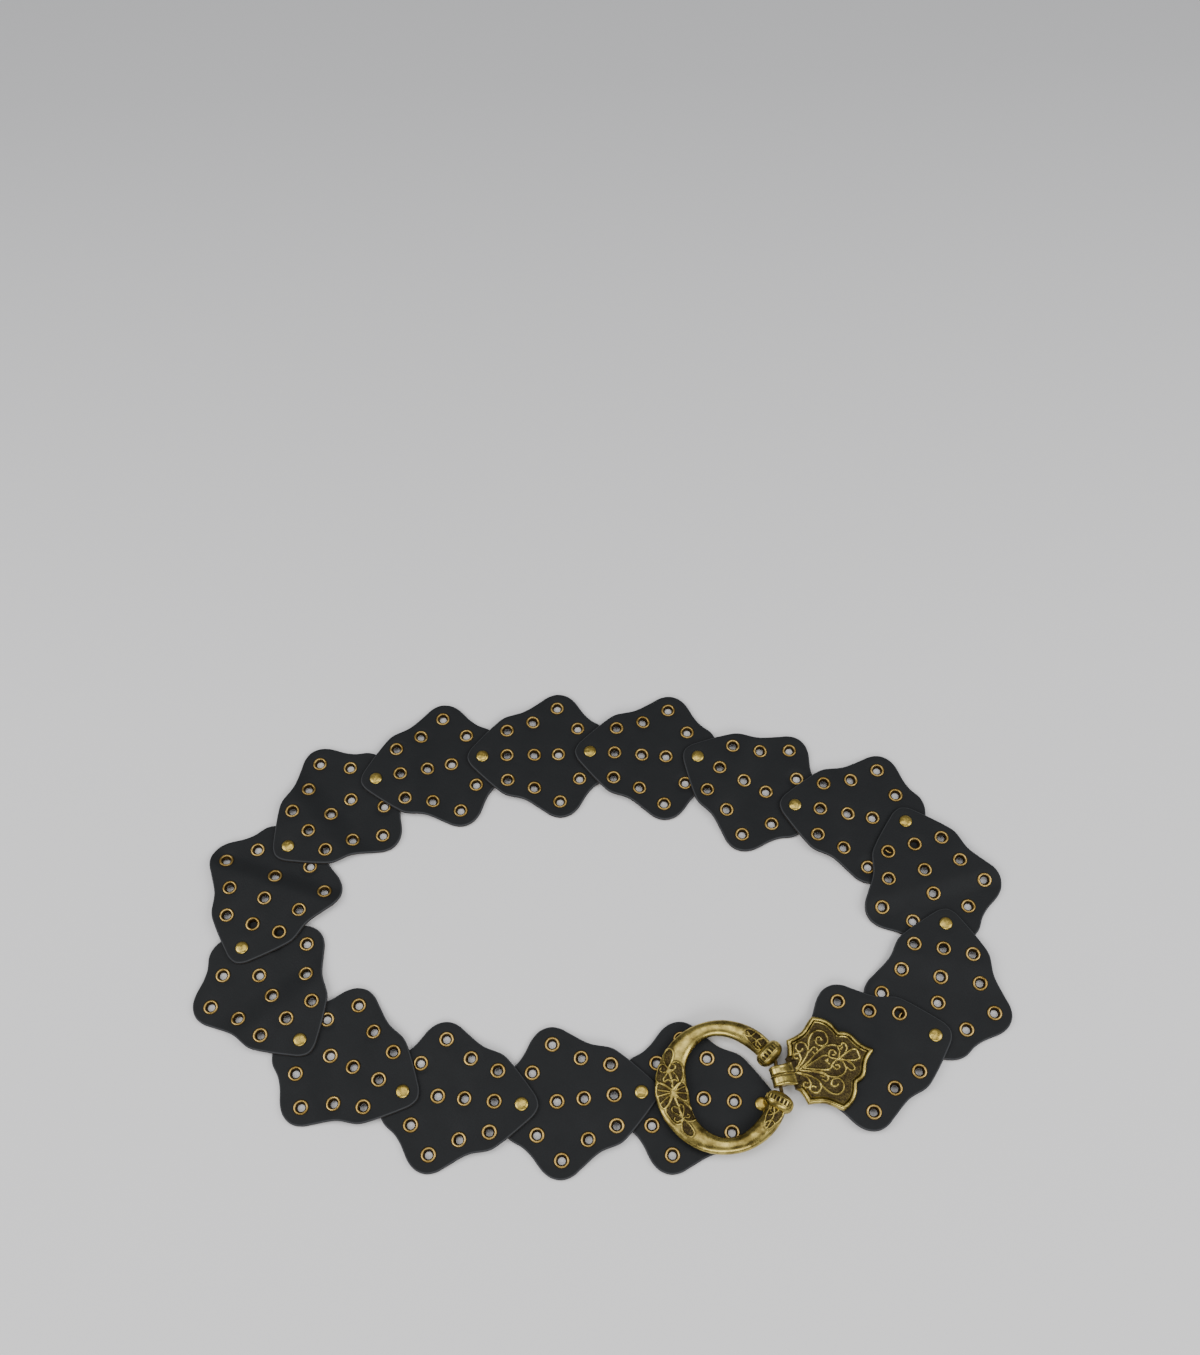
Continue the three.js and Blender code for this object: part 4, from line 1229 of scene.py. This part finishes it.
# Light, dark and patina of each metal.
RIVET_BRASS = ((0.56, 0.42, 0.11), (0.38, 0.27, 0.06), (0.06, 0.038, 0.015))
EYELET_BRASS = ((0.60, 0.41, 0.135), (0.36, 0.23, 0.062), (0.03, 0.017, 0.008))
OLD_BRASS = ((0.53, 0.42, 0.12), (0.165, 0.122, 0.034), (0.032, 0.022, 0.014))

LEATHER_LOOK = leather_material()
RIVET_LOOK = metal_material("rivet_brass", RIVET_BRASS, "crest", (0.24, 0.40))
EYELET_LOOK = metal_material("eyelet_brass", EYELET_BRASS, "crest", (0.24, 0.38))
ANTIQUE_LOOK = metal_material("antique_brass", OLD_BRASS, "recess", (0.2, 0.38), 180.0)


# Pieces.

def build_plates():
    rng = np.random.default_rng(SEED)
    for index in range(len(TURNS)):
        label = f"{index + 1:02d}"
        leather = make_object(f"leather_{label}", leather_shape(index), LEATHER_LOOK, 50)
        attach(leather, "belt")
        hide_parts(f"plate_{label}")
        shapes = [eyelet_shape(index, a, o, rng) for a, o in plate_eyelets(index)]
        eyelets = make_object(f"eyelets_{label}", joined(shapes), EYELET_LOOK, 60)
        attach(eyelets, "belt")
        shape = outward(rivet_shape(index, rng))
        rivet = make_object(f"rivet_brass_{label}", shape, RIVET_LOOK, 50)
        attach(rivet, "belt")
        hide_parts(f"rivet_{label}")


def build_clasp():
    cast = joined([placed(shield_shape(), SHIELD_FRAME), strap_shape()])
    shield = make_object("shield_cast", placed(cast, CLASP_FRAME), ANTIQUE_LOOK, 60)
    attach(shield, "belt")
    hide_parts("shield_plate")
    band = placed(ring_band_shape(), RING_FRAME, CLASP_FRAME)
    ring = make_object("ring_cast", joined([band, hook_shape()]), ANTIQUE_LOOK, 60)
    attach(ring, "ring")
    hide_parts("ring")
    pair = joined([bead_shape(1), bead_shape(-1)])
    beads = make_object("ring_beads", placed(pair, RING_FRAME, CLASP_FRAME), ANTIQUE_LOOK, 60)
    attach(beads, "ring")
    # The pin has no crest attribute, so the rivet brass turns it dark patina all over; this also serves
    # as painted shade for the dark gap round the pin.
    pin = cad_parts["hinge_pin"]
    pin.data.materials.clear()
    pin.data.materials.append(RIVET_LOOK)


# Floor, light and camera.

FOCAL = 40.37
SENSOR = 36.0
CAMERA_PLACE = (4.52, -314.83, 897.06)
CAMERA_TILT = 28.32
CAMERA_ROLL = -2.24
CAMERA_END = 50

# Soft boxes: name, place and target, width and depth in metres, power in watts.
LIGHTS = [
    ("left_box", (-1.3, -0.1, 1.25), (0, 0, 0), (1.0, 1.2), 17),
    ("right_box", (1.35, -0.2, 1.2), (0, 0, 0), (1.0, 1.2), 16),
    ("front_box", (0.1, -1.5, 1.1), (0, 0, 0), (1.5, 0.7), 17),
    ("top_box", (0, 0.35, 2.0), (0, -0.1, 0), (1.2, 0.9), 9),
]
WORLD_COLOUR = (0.96, 0.97, 1.0, 1)
WORLD_STRENGTH = 0.22

# Painted shade: the floor's colour darkens from one Y to the other, in metres, where the light falls
# off.
FLOOR_HALF = 6.0
FLOOR_NEAR = ((0.80, 0.795, 0.80), (0.82, 0.815, 0.82))
FLOOR_FAR_SHADE = (0.63, 0.63, 0.64)
FLOOR_SHADE_FADE = (0.15, 0.75)
FLOOR_ROUGH = 0.7


def build_camera():
    data = bpy.data.cameras.new("camera")
    data.lens = FOCAL
    data.sensor_width = SENSOR
    data.clip_end = CAMERA_END
    camera = add_object("camera", data)
    tilt = Matrix.Rotation(math.radians(CAMERA_TILT), 4, "X")
    roll = Matrix.Rotation(math.radians(CAMERA_ROLL), 4, "Z")
    camera.matrix_world = Matrix.Translation(Vector(CAMERA_PLACE) * METRE) @ tilt @ roll
    bpy.context.scene.camera = camera


def area_light(name, place, target, size, power):
    data = bpy.data.lights.new(name, "AREA")
    data.shape = "RECTANGLE"
    data.size, data.size_y = size
    data.energy = power
    light = add_object(name, data)
    light.location = place
    aim = Vector(target) - Vector(place)
    light.rotation_euler = aim.to_track_quat("-Z", "Y").to_euler()


def floor_material():
    material, tree, shader = new_material("pale_floor")
    near = mix(tree, noise_value(tree, 1.2, 2.0), *FLOOR_NEAR)
    split = tree.nodes.new("ShaderNodeSeparateXYZ")
    feed_place(tree, split.inputs[0])
    start, end = FLOOR_SHADE_FADE
    # Painted shade: towards far Y the floor is mixed with the darker far grey.
    far = ramp(tree, split.outputs["Y"], [(start, 0.0), (end, 1.0)])
    tree.links.new(mix(tree, far, near, FLOOR_FAR_SHADE), shader.inputs["Base Color"])
    shader.inputs["Roughness"].default_value = FLOOR_ROUGH
    shader.inputs["Specular IOR Level"].default_value = DULL_SPECULAR
    return material


def build_world():
    world = bpy.data.worlds.new("studio")
    world.use_nodes = True
    background = next(n for n in world.node_tree.nodes if n.type == "BACKGROUND")
    background.inputs["Color"].default_value = WORLD_COLOUR
    background.inputs["Strength"].default_value = WORLD_STRENGTH
    bpy.context.scene.world = world


def build_stage():
    square = np.array([(-1, -1, 0), (1, -1, 0), (1, 1, 0), (-1, 1, 0)]) * FLOOR_HALF / METRE
    floor = make_object("floor", (square, [(0, 1, 2, 3)], {}), floor_material())
    for row in LIGHTS:
        area_light(*row)
    build_world()


build_camera()
build_plates()
build_clasp()
build_stage()
